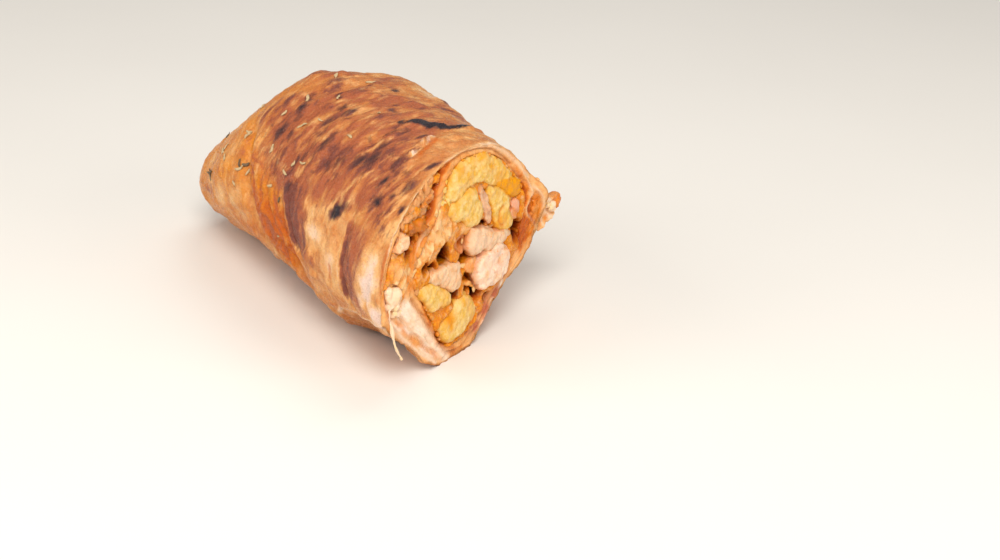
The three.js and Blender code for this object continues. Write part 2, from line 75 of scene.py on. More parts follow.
# The taper towards the closed end, and its rounded tip
TAPER_LENGTH = 52.0
TAPER_SOFTNESS = 0.56
TIP_LENGTH = 15.3
TIP_ROUNDNESS = 2.84
TIP_WIDTH = 48.4
TIP_HEIGHT = 29.0
TIP_RISE = 12.2
TAPER_SIDESTEP = 6.0
TIP_SIDESTEP = 3.85

# Shape of the rim, as angle and share of the plain section, and how far back it fades out
RIM_SHAPE = [
    (0, 1.07), (15, 1.06), (32, 1.01), (60, 1.015), (90, 1), (120, 0.965), (150, 0.96), (180, 0.98),
    (200, 0.99), (225, 0.905), (247, 0.975), (268, 1.06), (285, 0.93), (305, 0.79), (320, 0.8),
    (342, 0.985),
]
RIM_REACH = 42.0
# Swellings, as x, angle, height, length, spread
SWELLINGS = [
    (97, 228, 3, 13, 20), (45, 100, 1.8, 10, 14), (57, 57, 2.3, 13, 16), (76, 50, 1.6, 12, 14),
    (9, 150, 1.4, 8, 25), (32, 178, 1.5, 11, 26),
]
# Creases, as x, slope, depth, half width, and the angles they run between
CREASES = [
    (55, 0.3, 2.2, 3.2, 134, 232), (79, 0.28, 1.1, 3, 160, 226), (66, 0.75, 1.4, 3, 184, 236),
    (113.5, 0.12, 0.8, 3, 152, 212),
]
CREASE_FADE = 14.0
FLAP = {"angle": 12, "height": 3.6, "spread": 15, "spread above": 10, "length": 9}

# Hollows of the cut, as (across, up) outlines
CORE = [
    (0, 28.1), (5.5, 28.1), (10.8, 26.9), (16, 24.1), (20.6, 20.4), (25.2, 15.6), (29.2, 11.4), (30, 6.5),
    (29.6, 0), (28, -7.5), (22, -12.6), (16.4, -16), (11, -21), (6, -25.4), (1, -27.2), (-4.5, -27.2),
    (-8.6, -24.6), (-10.4, -20.4), (-12, -16.8), (-14.4, -13), (-16.8, -8.6), (-19.6, -3.6), (-20.2, 1.5),
    (-17.5, 7.2), (-11.5, 12.7), (-8.4, 18.5), (-5.8, 24.4),
]
POCKET = [
    (-8.6, 27.6), (-14, 25.7), (-19.8, 22.4), (-24.8, 17.6), (-28.5, 12.6), (-31.1, 6.4), (-32.3, 0.6),
    (-30.8, -4.4), (-26.6, -5.6), (-23.8, 0), (-22.6, 6.5), (-18.3, 11.7), (-14, 16.5), (-11.6, 22),
]
HOLLOW_FLOOR = 56.0
WALL_SLOPE = 4.0  # how fast the hollow deepens from its edge
SNAP = 0.34  # points of the face this near to a hollow's edge are moved onto it

# Torn lips of bread at the cut: how far they stand proud, how far they run back, outline
TORN_LIPS = [
    (0.8, 5.6, [(34.4, 4.4), (38, 5), (40.4, 3.6), (43.4, 2.1), (46.8, 2), (49.3, 0.4), (48.9, -1.6),
     (47.4, -3.4), (43, -5.2), (38.6, -6.6), (35.6, -4.6), (34, 0)]),
    (-0.5, 5, [(33.8, 5.4), (34.8, 8.6), (36.8, 9.2), (38.6, 9.4), (39, 6.4), (38.8, 0), (38, -4.6),
     (35.4, -2)]),
]
# Dried herb flecks, as x, angle, length
FLECKS = [
    (42, 147, 2.6), (57, 116, 3), (55, 130, 2.6), (66, 129, 3.6), (71, 122, 2.4), (65, 106, 2.6),
    (62, 148, 2.8), (76, 148, 2.2), (80, 145, 2.6), (75, 154, 2.4), (22, 141, 2.8), (33, 157, 3.4),
    (47, 169, 3.4), (26, 172, 4.2), (46, 178, 2.4), (75, 169, 2.2), (75, 190, 2.6), (88, 120, 2.4),
    (52, 96, 2.2), (38, 128, 2.4), (60, 84, 2.6), (84, 100, 2.2), (24.8, 173, 4.4), (46.2, 166, 3),
    (50.6, 168.5, 3.2), (48.4, 166, 2.4), (31.4, 158, 2.8), (36.7, 164, 2.4), (42.6, 149, 3),
    (69.3, 165, 1.8), (33.4, 160, 1.8),
]
DARK_FLECKS = (10, 13, 15, 22, 23, 25)
FLECK_WIDTHS = (0.3, 0.55)  # half widths
FLECK_THICKNESS = 0.22
FLECK_TURN = 2.4  # from one fleck to the next, in radians, so that no two lie alike
FLECK_BEND = 0.16
FLECK_LIFT = 0.28

# Marks of the griddle on the skin, as (x, angle) places; one degree is about 0.576 mm round it
DEGREE = 0.576
# Outline of the broad scorched field
SCORCHED = [
    (41, 138), (56, 154), (66, 161), (80, 161), (96, 156), (111, 152), (124, 147), (129, 139), (122, 127),
    (112, 114), (107, 98), (105, 86), (101, 74), (92, 56), (82, 50), (71, 62), (70, 90), (61, 102),
    (51, 116), (42, 128),
]
# Spots, as x, angle, length, width, strength: scorch, then lighter oily places inside the scorched field
SCORCH = [
    (53, 139, 6, 4, 0.9), (30, 150, 4, 2, 0.5), (24, 165, 3, 1.5, 0.5), (38, 172, 5, 1.5, 0.5),
    (20, 186, 4, 2, 0.4), (45, 160, 4, 2, 0.6), (42, 146, 4, 3, 0.6), (66, 340, 18, 10, 0.8),
    (96, 322, 14, 9, 0.8), (40, 24, 12, 8, 0.5), (84, 14, 14, 8, 0.6), (60, 250, 26, 12, 0.8),
    (100, 262, 20, 10, 0.8), (30, 262, 14, 9, 0.6), (36, 100, 10, 6, 0.6), (44, 82, 8, 5, 0.6),
    (58, 72, 8, 4, 0.6), (74, 50, 6, 4, 0.5), (60, 118, 12, 8, 0.5),
]
GOLD_GAPS = [
    (70, 58, 5, 4, 0.9), (78.4, 69, 5, 3.5, 0.9), (70, 76.5, 5, 3.5, 0.85), (85, 106.5, 3.6, 3, 0.85),
    (116, 152, 5, 4, 0.5), (81, 117, 3, 2.5, 0.75), (69.4, 121.5, 3.2, 2.6, 0.8), (75, 100.5, 4, 3, 0.85),
    (63, 109.5, 3.4, 2.8, 0.8), (56, 122, 3, 2.5, 0.6), (50, 110, 3.4, 3, 0.7), (66, 88, 4.4, 3, 0.75),
    (92, 96, 4, 2.5, 0.7), (100, 92, 3, 2, 0.6), (79, 129, 3, 2.4, 0.6), (91, 99, 4, 3, 0.8),
    (87.5, 118, 3.4, 3, 0.7), (70.6, 93, 3.6, 3, 0.8), (83, 140, 3, 2.4, 0.6), (79, 148, 3, 2.4, 0.6),
    (105, 148, 3, 2.4, 0.6), (47, 117, 4, 4, 0.6), (104, 140, 3, 2, 0.5), (88, 148, 3, 2, 0.5),
    (85, 84, 6, 3.4, 0.9), (89, 69, 8, 3.4, 0.9), (77, 104, 7, 3.4, 0.75), (71, 118, 4, 3, 0.6),
    (66, 131, 5, 3, 0.6), (101, 84, 3, 3, 0.6), (95, 112, 4, 2, 0.4), (58, 146, 4, 3, 0.5),
]
MAUVE = [
    (109, 116, 8, 5, 1), (112, 129, 8, 4.5, 1), (103, 103, 9, 3.5, 0.9), (101, 129, 10, 4.5, 0.95),
    (90, 130, 10, 5, 0.95), (86, 140, 8, 4.5, 0.8), (128, 148, 5, 2, 0.7), (72, 138, 7, 3.4, 0.75),
    (58, 128, 5, 2.6, 0.6), (82, 118, 6, 2.6, 0.6), (50, 131, 6, 4, 0.9),
]
CHAR_SPOTS = [
    (104.2, 157, 2.2, 2, 1.5), (105.4, 154.5, 2.4, 2.4, 2.2), (106.6, 152, 2.2, 2, 1.4),
    (117.6, 138.5, 2.4, 2.6, 1.2), (102.7, 123, 1.8, 1.8, 0.9), (94.5, 132, 2, 1.8, 0.9),
    (114, 127.5, 1.6, 1.4, 0.9), (65.6, 105, 1, 0.9, 1.1), (71.5, 108, 1.8, 1.4, 0.9),
    (67.3, 76.5, 1.6, 1.3, 1.1), (118, 138, 1.5, 1.1, 0.9), (122, 132, 1.5, 1.2, 0.9),
    (128, 134, 1.3, 1, 0.9), (83, 92, 2.4, 1.3, 0.95), (79, 87, 1.5, 1, 0.7), (69, 52, 2.2, 1.4, 0.8),
    (73, 53, 1.6, 1.1, 0.75), (113, 121, 2, 1.1, 0.8), (118, 118, 2.2, 1.1, 0.8), (95, 140, 1.7, 1.2, 0.7),
    (76, 128, 3, 1.3, 0.7), (71, 110, 2.4, 1.2, 0.7), (57, 100, 2.6, 1.2, 0.6), (62, 86, 2.4, 1, 0.6),
    (99, 122, 2.2, 1.2, 0.75), (66, 322, 2, 1.4, 0.7), (98, 312, 1.8, 1.2, 0.7), (52, 12, 1.6, 1.1, 0.6),
    (88, 344, 2.2, 1.4, 0.7), (48, 335, 1.8, 1.2, 0.6), (110, 30, 1.6, 1.2, 0.6), (76, 262, 3, 2, 0.8),
    (96, 250, 2.4, 1.5, 0.7),
]
CREAM = [
    (94, 164, 5, 4, 0.5), (101, 158, 6, 4, 0.6), (98, 174, 9, 6, 0.8), (107, 180, 5, 8, 0.8),
    (130, 178, 8, 10, 1.5), (135, 190, 7, 9, 1.1), (138, 172, 5, 8, 0.9), (57, 187, 2.2, 6, 0.7),
    (69, 58, 8, 5, 0.7), (134, 178, 3, 4, 1), (138, 186, 3, 7, 1), (66, 104, 9, 5, 0.25),
    (100, 352, 10, 8, 0.6), (60, 0, 10, 8, 0.5), (30, 330, 10, 8, 0.5), (88, 284, 10, 8, 0.5),
]
HIGHLIGHT = [
    (33, 187, 7, 6, 0.9), (26, 180, 5, 5, 0.7), (42, 192, 6, 5, 0.8), (48, 197, 5, 4, 0.6),
    (38, 160, 6, 6, 0.5), (22, 160, 5, 6, 0.5), (30, 142, 6, 6, 0.4), (46, 184, 5, 5, 0.6),
]
# Dark patches drawn out round the roll, likewise
BLOTCHES = [
    (45, 102, 2, 3, 0.7), (56, 99, 2.4, 5, 0.7), (65, 94, 2.4, 5, 0.7), (59.8, 122, 1.8, 3.6, 0.9),
    (76.4, 110, 2, 4, 1), (60, 138, 2.2, 5, 0.9), (64.6, 136, 1.6, 3, 0.7), (82.9, 130, 2, 4, 1),
    (93, 134, 2.2, 3.6, 0.8), (102.7, 123, 3, 5, 0.9), (114, 128, 1.6, 2.6, 1), (117.6, 138, 2.2, 2.6, 0.9),
    (117.5, 143, 1.4, 2, 0.8), (104.4, 156.5, 3.4, 3.2, 0.9), (107.2, 150.5, 3, 3, 0.8),
    (63, 104, 1.2, 1.8, 0.8), (74, 120, 1.8, 4, 0.8), (58.4, 117, 1.4, 3, 0.7), (76.2, 145, 1.6, 3, 0.7),
    (82.5, 128, 1.6, 3, 0.8), (52, 126, 1.6, 3, 0.6), (68.3, 148, 2.6, 4, 0.6), (90, 138, 1.8, 3, 0.7),
    (99.5, 127, 3, 5, 0.8), (100, 114, 3, 5, 0.8), (78.4, 159, 1.5, 3.5, 0.9), (104.8, 96, 1.5, 2.4, 0.8),
    (122.5, 108, 1.6, 3, 0.9), (122, 132, 1.2, 2, 0.8), (129.4, 135, 1.4, 2, 0.9), (124, 124, 2, 4, 0.8),
    (62, 318, 3, 7, 0.8), (84, 330, 3, 6, 0.8), (104, 322, 3, 6, 0.9), (74, 345, 2, 5, 0.7),
    (48, 20, 2, 5, 0.6), (92, 24, 2, 5, 0.7), (66, 256, 4, 7, 0.9), (84, 246, 3, 6, 0.8),
    (102, 268, 4, 7, 0.9), (44, 262, 3, 6, 0.7),
]
# Puffed places, with a height in place of the strength
BLISTERS = [
    (56, 96, 2.6, 4.5, 0.9), (65, 91.5, 2.6, 5, 1), (45, 99, 2, 3.4, 0.6), (52, 84, 2.4, 4, 0.4),
    (74, 84, 2.6, 4, 0.5), (86, 104, 2.2, 4, 0.6), (70, 128, 2.4, 4.4, 0.6), (92, 118, 2.4, 5, 0.6),
    (106, 140, 2, 4, 0.5), (60, 74, 2.4, 4, 0.4), (50, 92, 2.2, 4, 0.5), (59.8, 120, 2, 4, 0.5),
    (76, 108, 2.2, 4, 0.6), (88, 84, 2, 4, 0.6), (98, 106, 2, 4, 0.5), (78, 116, 2.2, 4, 0.6),
    (84, 134, 2, 4, 0.6), (62, 350, 3, 5, 0.8), (90, 340, 3, 5, 0.8), (40, 40, 3, 5, 0.7),
    (100, 20, 2.6, 5, 0.7),
]
# Gathered folds of the closed end, from the tip outwards, and their depth
TUCKS = [
    ([(1.5, 40), (10, 52), (24, 66), (36, 72)], 0.9), ([(1.5, 320), (12, 332), (30, 344)], 0.8),
    ([(2, 250), (14, 262), (32, 268)], 0.7), ([(2, 110), (9, 124), (18, 132)], 0.4),
    ([(2, 290), (10, 296), (22, 300)], 0.5), ([(1.5, 8), (8, 12), (20, 20)], 0.5),
]
CHAR_STREAK = [(93, 97), (95, 90), (98.1, 86.5), (99.9, 84), (101.9, 80), (101.6, 74), (100, 66)]
# Edges of sheets that lap over their neighbours: line, height, reach and strength of the scorch and painted
# shadow beyond, with a painted highlight on the lapping edge
LEDGES = [
    ([(79.6, 150), (77.8, 159), (79.7, 166), (82.6, 176), (84.5, 183), (87.1, 188), (91, 196)],
     0.6, 10.5, 1.6),
    ([(112.6, 150), (113.2, 166), (113.5, 180), (115, 192), (118, 206)], 0.7, 10, 0.85),
]
FOLD_FAN = [
    (50, 158), (54, 170), (58, 184), (66, 200), (80, 208), (90, 200), (86, 188), (82, 177), (79, 167),
    (76, 158), (68, 152), (58, 150),
]
# Coloured lines, each with its width and strength
BROWN_BANDS = [([(124, 146), (133, 150)], 1.2, 0.6), ([(60, 152), (70, 158), (79, 152)], 2, 0.6)]
ORANGE_LINES = [
    ([(108, 183), (108, 190)], 0.8, 0.9), ([(134, 153), (135, 165), (137, 177)], 0.9, 0.8),
    ([(53, 168), (56, 180), (60, 190), (64, 198)], 1.2, 0.9), ([(114, 106), (109, 92)], 1.1, 0.9),
    ([(101, 214), (112, 208), (124, 203), (133, 200)], 1.4, 0.5),
    ([(53, 168), (55, 176), (57, 184), (61, 190)], 1.3, 1.3),
]
# Pleats between the two folds: where they start at the mid line, their slope, width and spread, and their
# waves, each a height, how often it comes and how much it wanders
PLEATS = {"start": 55, "slope": 0.3, "width": 26, "spread": 0.1}
PLEAT_WAVES = [(0.55, 4.4, 1), (0.45, 10.5, 2.6), (0.25, 17, 5)]
TORN_BLISTER = [(112.5, 112), (111, 104), (107, 91)]
SHEET_END = [(100, 222), (106, 212), (118, 205), (134, 198)]
CREAM_HALO = [(106, 150), (106, 162)]  # paler ring round the largest char spot
# Soft zones of the skin, with the middle angle, its spread, then where each starts and ends along the
# roll and how softly
ZONES = {
    "top": (115, 70, (34, 20), None), "nose": (185, 46, (6, 10), (54, 10)),
    "side": (184, 24, (84, 8), None), "orange lower side": (206, 18, (20, 30), (100, 20)),
    "golden end": (180, 80, None, (66, 24)), "toasted top": (98, 52, (14, 26), (118, 26)),
    "toasted back": (265, 50, None, None),
}
TOASTED_BY_CUT = [(118, 125, 9, 26.5, 1.2)]
# Heights of the fine relief
RELIEF = {
    "lumps": 0.36, "grain": 0.12, "puffs": 0.8, "streaks": 0.26, "pleats": 0.36, "nose lines": 0.32,
    "side lines": 0.22, "tuck lip": 0.6, "lap groove": 0.45, "char": 0.55, "sheet edge": 0.5,
    "sheet step": 0.7,
}


# Small helpers


def smooth(t):
    s = np.clip(t, 0, 1)
    return s * s * (3 - 2 * s)


def bell(t):
    return np.exp(-t * t)


def most(*shares):
    """The largest of several shares at each place."""
    return np.maximum.reduce(shares)


def turn_between(a, b):
    return (a - b + 180) % 360 - 180


def around(pairs, angle):
    """Smooth periodic value of an (angle, value) list."""
    angles, values = np.array(pairs, float).T
    turned = np.asarray(angle, float) % 360
    index = np.searchsorted(angles, turned, side="right") - 1
    following = np.append(angles[1:], angles[0] + 360)
    t = (turned - angles[index]) / (following[index] - angles[index])
    before, here, after, later = (values[(index + step) % len(values)] for step in (-1, 0, 1, 2))
    square = 2 * before - 5 * here + 4 * after - later
    cube = 3 * here - before - 3 * after + later
    return 0.5 * (2 * here + (after - before) * t + square * t**2 + cube * t**3)


def grain(points, size, seed):
    """Smooth random value from -1 to 1 at each point, with lumps about size apart."""
    scaled = np.asarray(points, float) / size
    cell = np.floor(scaled).astype(np.int64)
    fade = scaled - cell
    fade = fade * fade * fade * (fade * (fade * 6 - 15) + 10)
    total = np.zeros(scaled.shape[:-1])
    for corner in range(8):
        step = np.array([corner & 1, corner >> 1 & 1, corner >> 2 & 1])
        mixed = (cell + step) @ (374761393, 668265263, 1442695041) + seed * 974634777
        mixed = (mixed ^ (mixed >> 13)) * 1274126177 & 0x7FFFFFFF
        mixed ^= mixed >> 15
        value = (mixed & 0xFFFF) / 32767.5 - 1
        total += value * np.prod(np.where(step, fade, 1 - fade), axis=-1)
    return total


def rough(points, size, seed, octaves=3):
    """Several sizes of grain, each half as large and half as strong as the one before."""
    return sum(grain(points, size / 2**k, seed + 31 * k) / 2**k for k in range(octaves))


def line_distance(line, u, v):
    """Signed distance to a line of points, positive on its left, and the line's nearest point."""
    u, v = np.broadcast_arrays(u, v)
    best = np.full(u.shape, 1e9)
    nearest = np.zeros((2, *u.shape))
    for (u0, v0), (u1, v1) in zip(line, line[1:]):
        du, dv = u1 - u0, v1 - v0
        share = np.clip(((u - u0) * du + (v - v0) * dv) / (du * du + dv * dv), 0, 1)
        foot = np.stack([u0 + share * du, v0 + share * dv])
        away = np.hypot(*(foot - (u, v)))
        nearer = away < np.abs(best)
        best = np.where(nearer, np.where(du * (v - v0) < dv * (u - u0), -away, away), best)
        nearest = np.where(nearer, foot, nearest)
    return best, nearest


def outline_distance(outline, u, v):
    """Signed distance to a closed outline, negative inside, and the outline's nearest point."""
    closed = [*outline, outline[0]]
    away, nearest = line_distance(closed, u, v)
    inside = np.zeros(np.shape(u), bool)
    for (u0, v0), (u1, v1) in zip(closed, closed[1:]):
        if v0 != v1:
            inside = inside ^ (((v0 > v) != (v1 > v)) & (u < u0 + (v - v0) / (v1 - v0) * (u1 - u0)))
    return np.where(inside, -1, 1) * np.abs(away), nearest


def region(outline, u, v, softness):
    """One inside a closed outline, nothing outside it, with an edge of the given softness."""
    return smooth(0.5 - outline_distance(outline, u, v)[0] / (2 * softness))


def lines(strokes, u, v):
    """Strongest share of several soft lines, each a line, its half width and its strength."""
    return most(*[
        strength * bell(line_distance(line, u, v)[0] / width) for line, width, strength in strokes
    ])


def on_skin(line):
    """Places on the skin with their angles as millimetres round the roll."""
    return [(x, angle * DEGREE) for x, angle in line]


def skin_line(line, x, angle):
    """Signed distance on the skin to a line of (x, angle) places, in millimetres."""
    return line_distance(on_skin(line), x, angle * DEGREE)[0]


def blobs(places, x, angle):
    """Soft spots on the skin from (x, angle, length, width, strength) places."""
    total = np.zeros(np.broadcast(x, angle).shape)
    for at_x, at_angle, length, width, strength in places:
        away = ((x - at_x) / length) ** 2 + (turn_between(angle, at_angle) * DEGREE / width) ** 2
        total = most(total, strength * np.exp(-away))
    return total


def zone(name, x, angle):
    """Share of one of the skin's soft zones at each place."""
    middle, spread, start, end = ZONES[name]
    share = bell(turn_between(angle, middle) / spread)
    if start:
        share = share * smooth((x - start[0]) / start[1])
    if end:
        share = share * smooth((end[0] - x) / end[1])
    return share


def closed_curve(corners, count):
    """Evenly spaced points of a smooth closed curve through the corners."""
    knots = np.array(corners, float)
    spans = np.sqrt(np.linalg.norm(np.roll(knots, -1, 0) - knots, axis=1))
    t = np.linspace(0, 1, 24, endpoint=False)[:, None]
    dense = []
    for i in range(len(knots)):
        before, here, after, later = (knots[(i + step) % len(knots)] for step in (-1, 0, 1, 2))
        back, span, ahead = (spans[(i + step) % len(knots)] for step in (-1, 0, 1))
        chord = after - here
        leaving = chord + span * ((here - before) / back - (after - before) / (back + span))
        arriving = chord + span * ((later - after) / ahead - (later - here) / (span + ahead))
        bend = (leaving + arriving - 2 * chord) * t**3 + (3 * chord - 2 * leaving - arriving) * t**2
        dense.append(bend + leaving * t + here)
    looped = np.vstack([*dense, dense[0][:1]])
    travelled = np.append(0, np.cumsum(np.linalg.norm(np.diff(looped, axis=0), axis=1)))
    wanted = np.linspace(0, travelled[-1], count, endpoint=False)
    return np.stack([np.interp(wanted, travelled, values) for values in looped.T], -1)


# The skin of the roll


def cut_at(y, z):
    """Where the plane of the cut lies along the roll."""
    return AXIS_LENGTH - CUT_TURN * y - CUT_LEAN * (z - MID_HEIGHT)


def section_at(x):
    """Half width, height, sidestep, rise and roundness of the roll's section."""
    reach = np.clip((TAPER_LENGTH - x) / TAPER_LENGTH, 0, 1)
    taper = (1 - TAPER_SOFTNESS) * reach * reach + TAPER_SOFTNESS * smooth(reach)
    in_tip = np.clip((TIP_LENGTH - x) / TIP_LENGTH, 0, 1)
    tip = (1 - in_tip**TIP_ROUNDNESS) ** (1 / TIP_ROUNDNESS)
    half_width = (ROLL_WIDTH - (ROLL_WIDTH - TIP_WIDTH) * taper) * tip / 2
    height = (ROLL_HEIGHT - (ROLL_HEIGHT - TIP_HEIGHT) * taper) * tip
    middle = -TAPER_SIDESTEP * taper - TIP_SIDESTEP * (1 - tip)
    return half_width, height, middle, TIP_RISE * (1 - tip), tip


def skin_height(x, angle):
    """Swellings and creases that the solid has too."""
    height = np.zeros(np.broadcast(x, angle).shape)
    for at_x, slope, depth, half_width, start, end in CREASES:
        fade = smooth((angle - start) / CREASE_FADE) * smooth((end - angle) / CREASE_FADE)
        height -= depth * fade * bell((x - at_x - slope * (angle - 180)) / half_width)
    for at_x, at_angle, swell, length, spread in SWELLINGS:
        height += swell * bell((x - at_x) / length) * bell(turn_between(angle, at_angle) / spread)
    return height


def skin_point(x, angle, extra=0.0):
    turn = np.radians(angle)
    towards_rim = smooth((x - AXIS_LENGTH + RIM_REACH) / RIM_REACH)
    half_width, height, middle, base, tip = section_at(x)
    radius = 1 + (around(RIM_SHAPE, angle) - 1) * towards_rim
    radius = radius + (skin_height(x, angle) + extra) * tip / MID_HEIGHT
    y = middle + radius * np.cos(turn) * half_width
    z = base + height * (1 + radius * np.sin(turn)) / 2
    return np.stack([x + 0 * y, y, np.maximum(z - SETTLE, 0)], -1)


def pleat_wave(x, angle):
    """Height of the pleats between the folds of the closed end, from -1 to 1, and how they wander."""
    from_side = angle - 180
    start = PLEATS["start"] + PLEATS["slope"] * from_side
    share = (x - start) / (PLEATS["width"] + PLEATS["spread"] * from_side)
    pleated = smooth(share / 0.12) * smooth((1.02 - share) / 0.15)
    pleated *= smooth((angle - 150) / 14) * smooth((218 - angle) / 12)
    wander = 0.6 * rough(np.stack([x, angle * DEGREE, 0 * x], -1), 9.0, 23, 2)
    turns = [(height, often * share + drift * wander) for height, often, drift in PLEAT_WAVES]
    return pleated * sum(height * np.sin(2 * math.pi * turn) for height, turn in turns), wander


def ledge_at(line, x, angle, fade_in, fade_out):
    """How far each place lies beyond a ledge, and one along the ledge but nothing past its ends."""
    here = smooth((angle - line[0][1]) / fade_in) * smooth((line[-1][1] - angle) / fade_out)
    return -skin_line(line, x, angle), here


def skin_relief(x, angle, point):
    """Fine relief of the skin in millimetres: puffs, pleats, laps, torn blister, char ridge, sheet end."""
    height = RELIEF["lumps"] * rough(point, 8.0, 3) + RELIEF["grain"] * rough(point, 1.9, 5, 2)
    height += RELIEF["puffs"] * np.clip(rough(point, 4.4, 11, 2) - 0.32, 0, 1)
    streaks = point * (1.0, 0.28, 0.28)
    height += RELIEF["streaks"] * zone("top", x, angle) * rough(streaks, 1.7, 17, 3)
    pleats, wander = pleat_wave(x, angle)
    nose, side = zone("nose", x, angle), zone("side", x, angle)
    height += RELIEF["pleats"] * pleats
    height += RELIEF["nose lines"] * nose * np.sin(angle * DEGREE / 2.4 + 0.16 * x + 2.5 * wander)
    height += RELIEF["side lines"] * side * np.sin(x / 1.5 + 3 * wander)
    height += blobs(BLISTERS, x, angle)
    for line, depth in TUCKS:
        away = skin_line(line, x, angle)
        height += depth * (RELIEF["tuck lip"] * bell((away - 1.6) / 1.8) - bell(away))
    for line, lap, _, _ in LEDGES:
        beyond, here = ledge_at(line, x, angle, 8, 8)
        over = lap * np.exp(np.minimum(beyond, 0) / 7) * smooth(0.5 - beyond / 0.8)
        height += here * (over - RELIEF["lap groove"] * bell((beyond - 0.7) / 0.8))
    ridge = bell(skin_line(CHAR_STREAK, x, angle) / 1.8)
    height += (RELIEF["char"] + 0.5 * rough(streaks, 1.4, 29, 2)) * ridge
    away = skin_line(TORN_BLISTER, x, angle)
    flakes = np.clip(0.25 + 1.6 * rough(point, 1.5, 41, 2), 0, 1.2)
    height += flakes * bell(away / np.where(away > 0, 0.7, 1.8))
    away = skin_line(SHEET_END, x, angle)
    near_cut = smooth((x - 97) / 8) * smooth((246 - angle) / 14) * smooth((angle - 190) / 4)
    edge = RELIEF["sheet edge"] * bell(away / 1.1) - RELIEF["sheet step"] * smooth(away / 1.2 + 0.3)
    return height + near_cut * edge


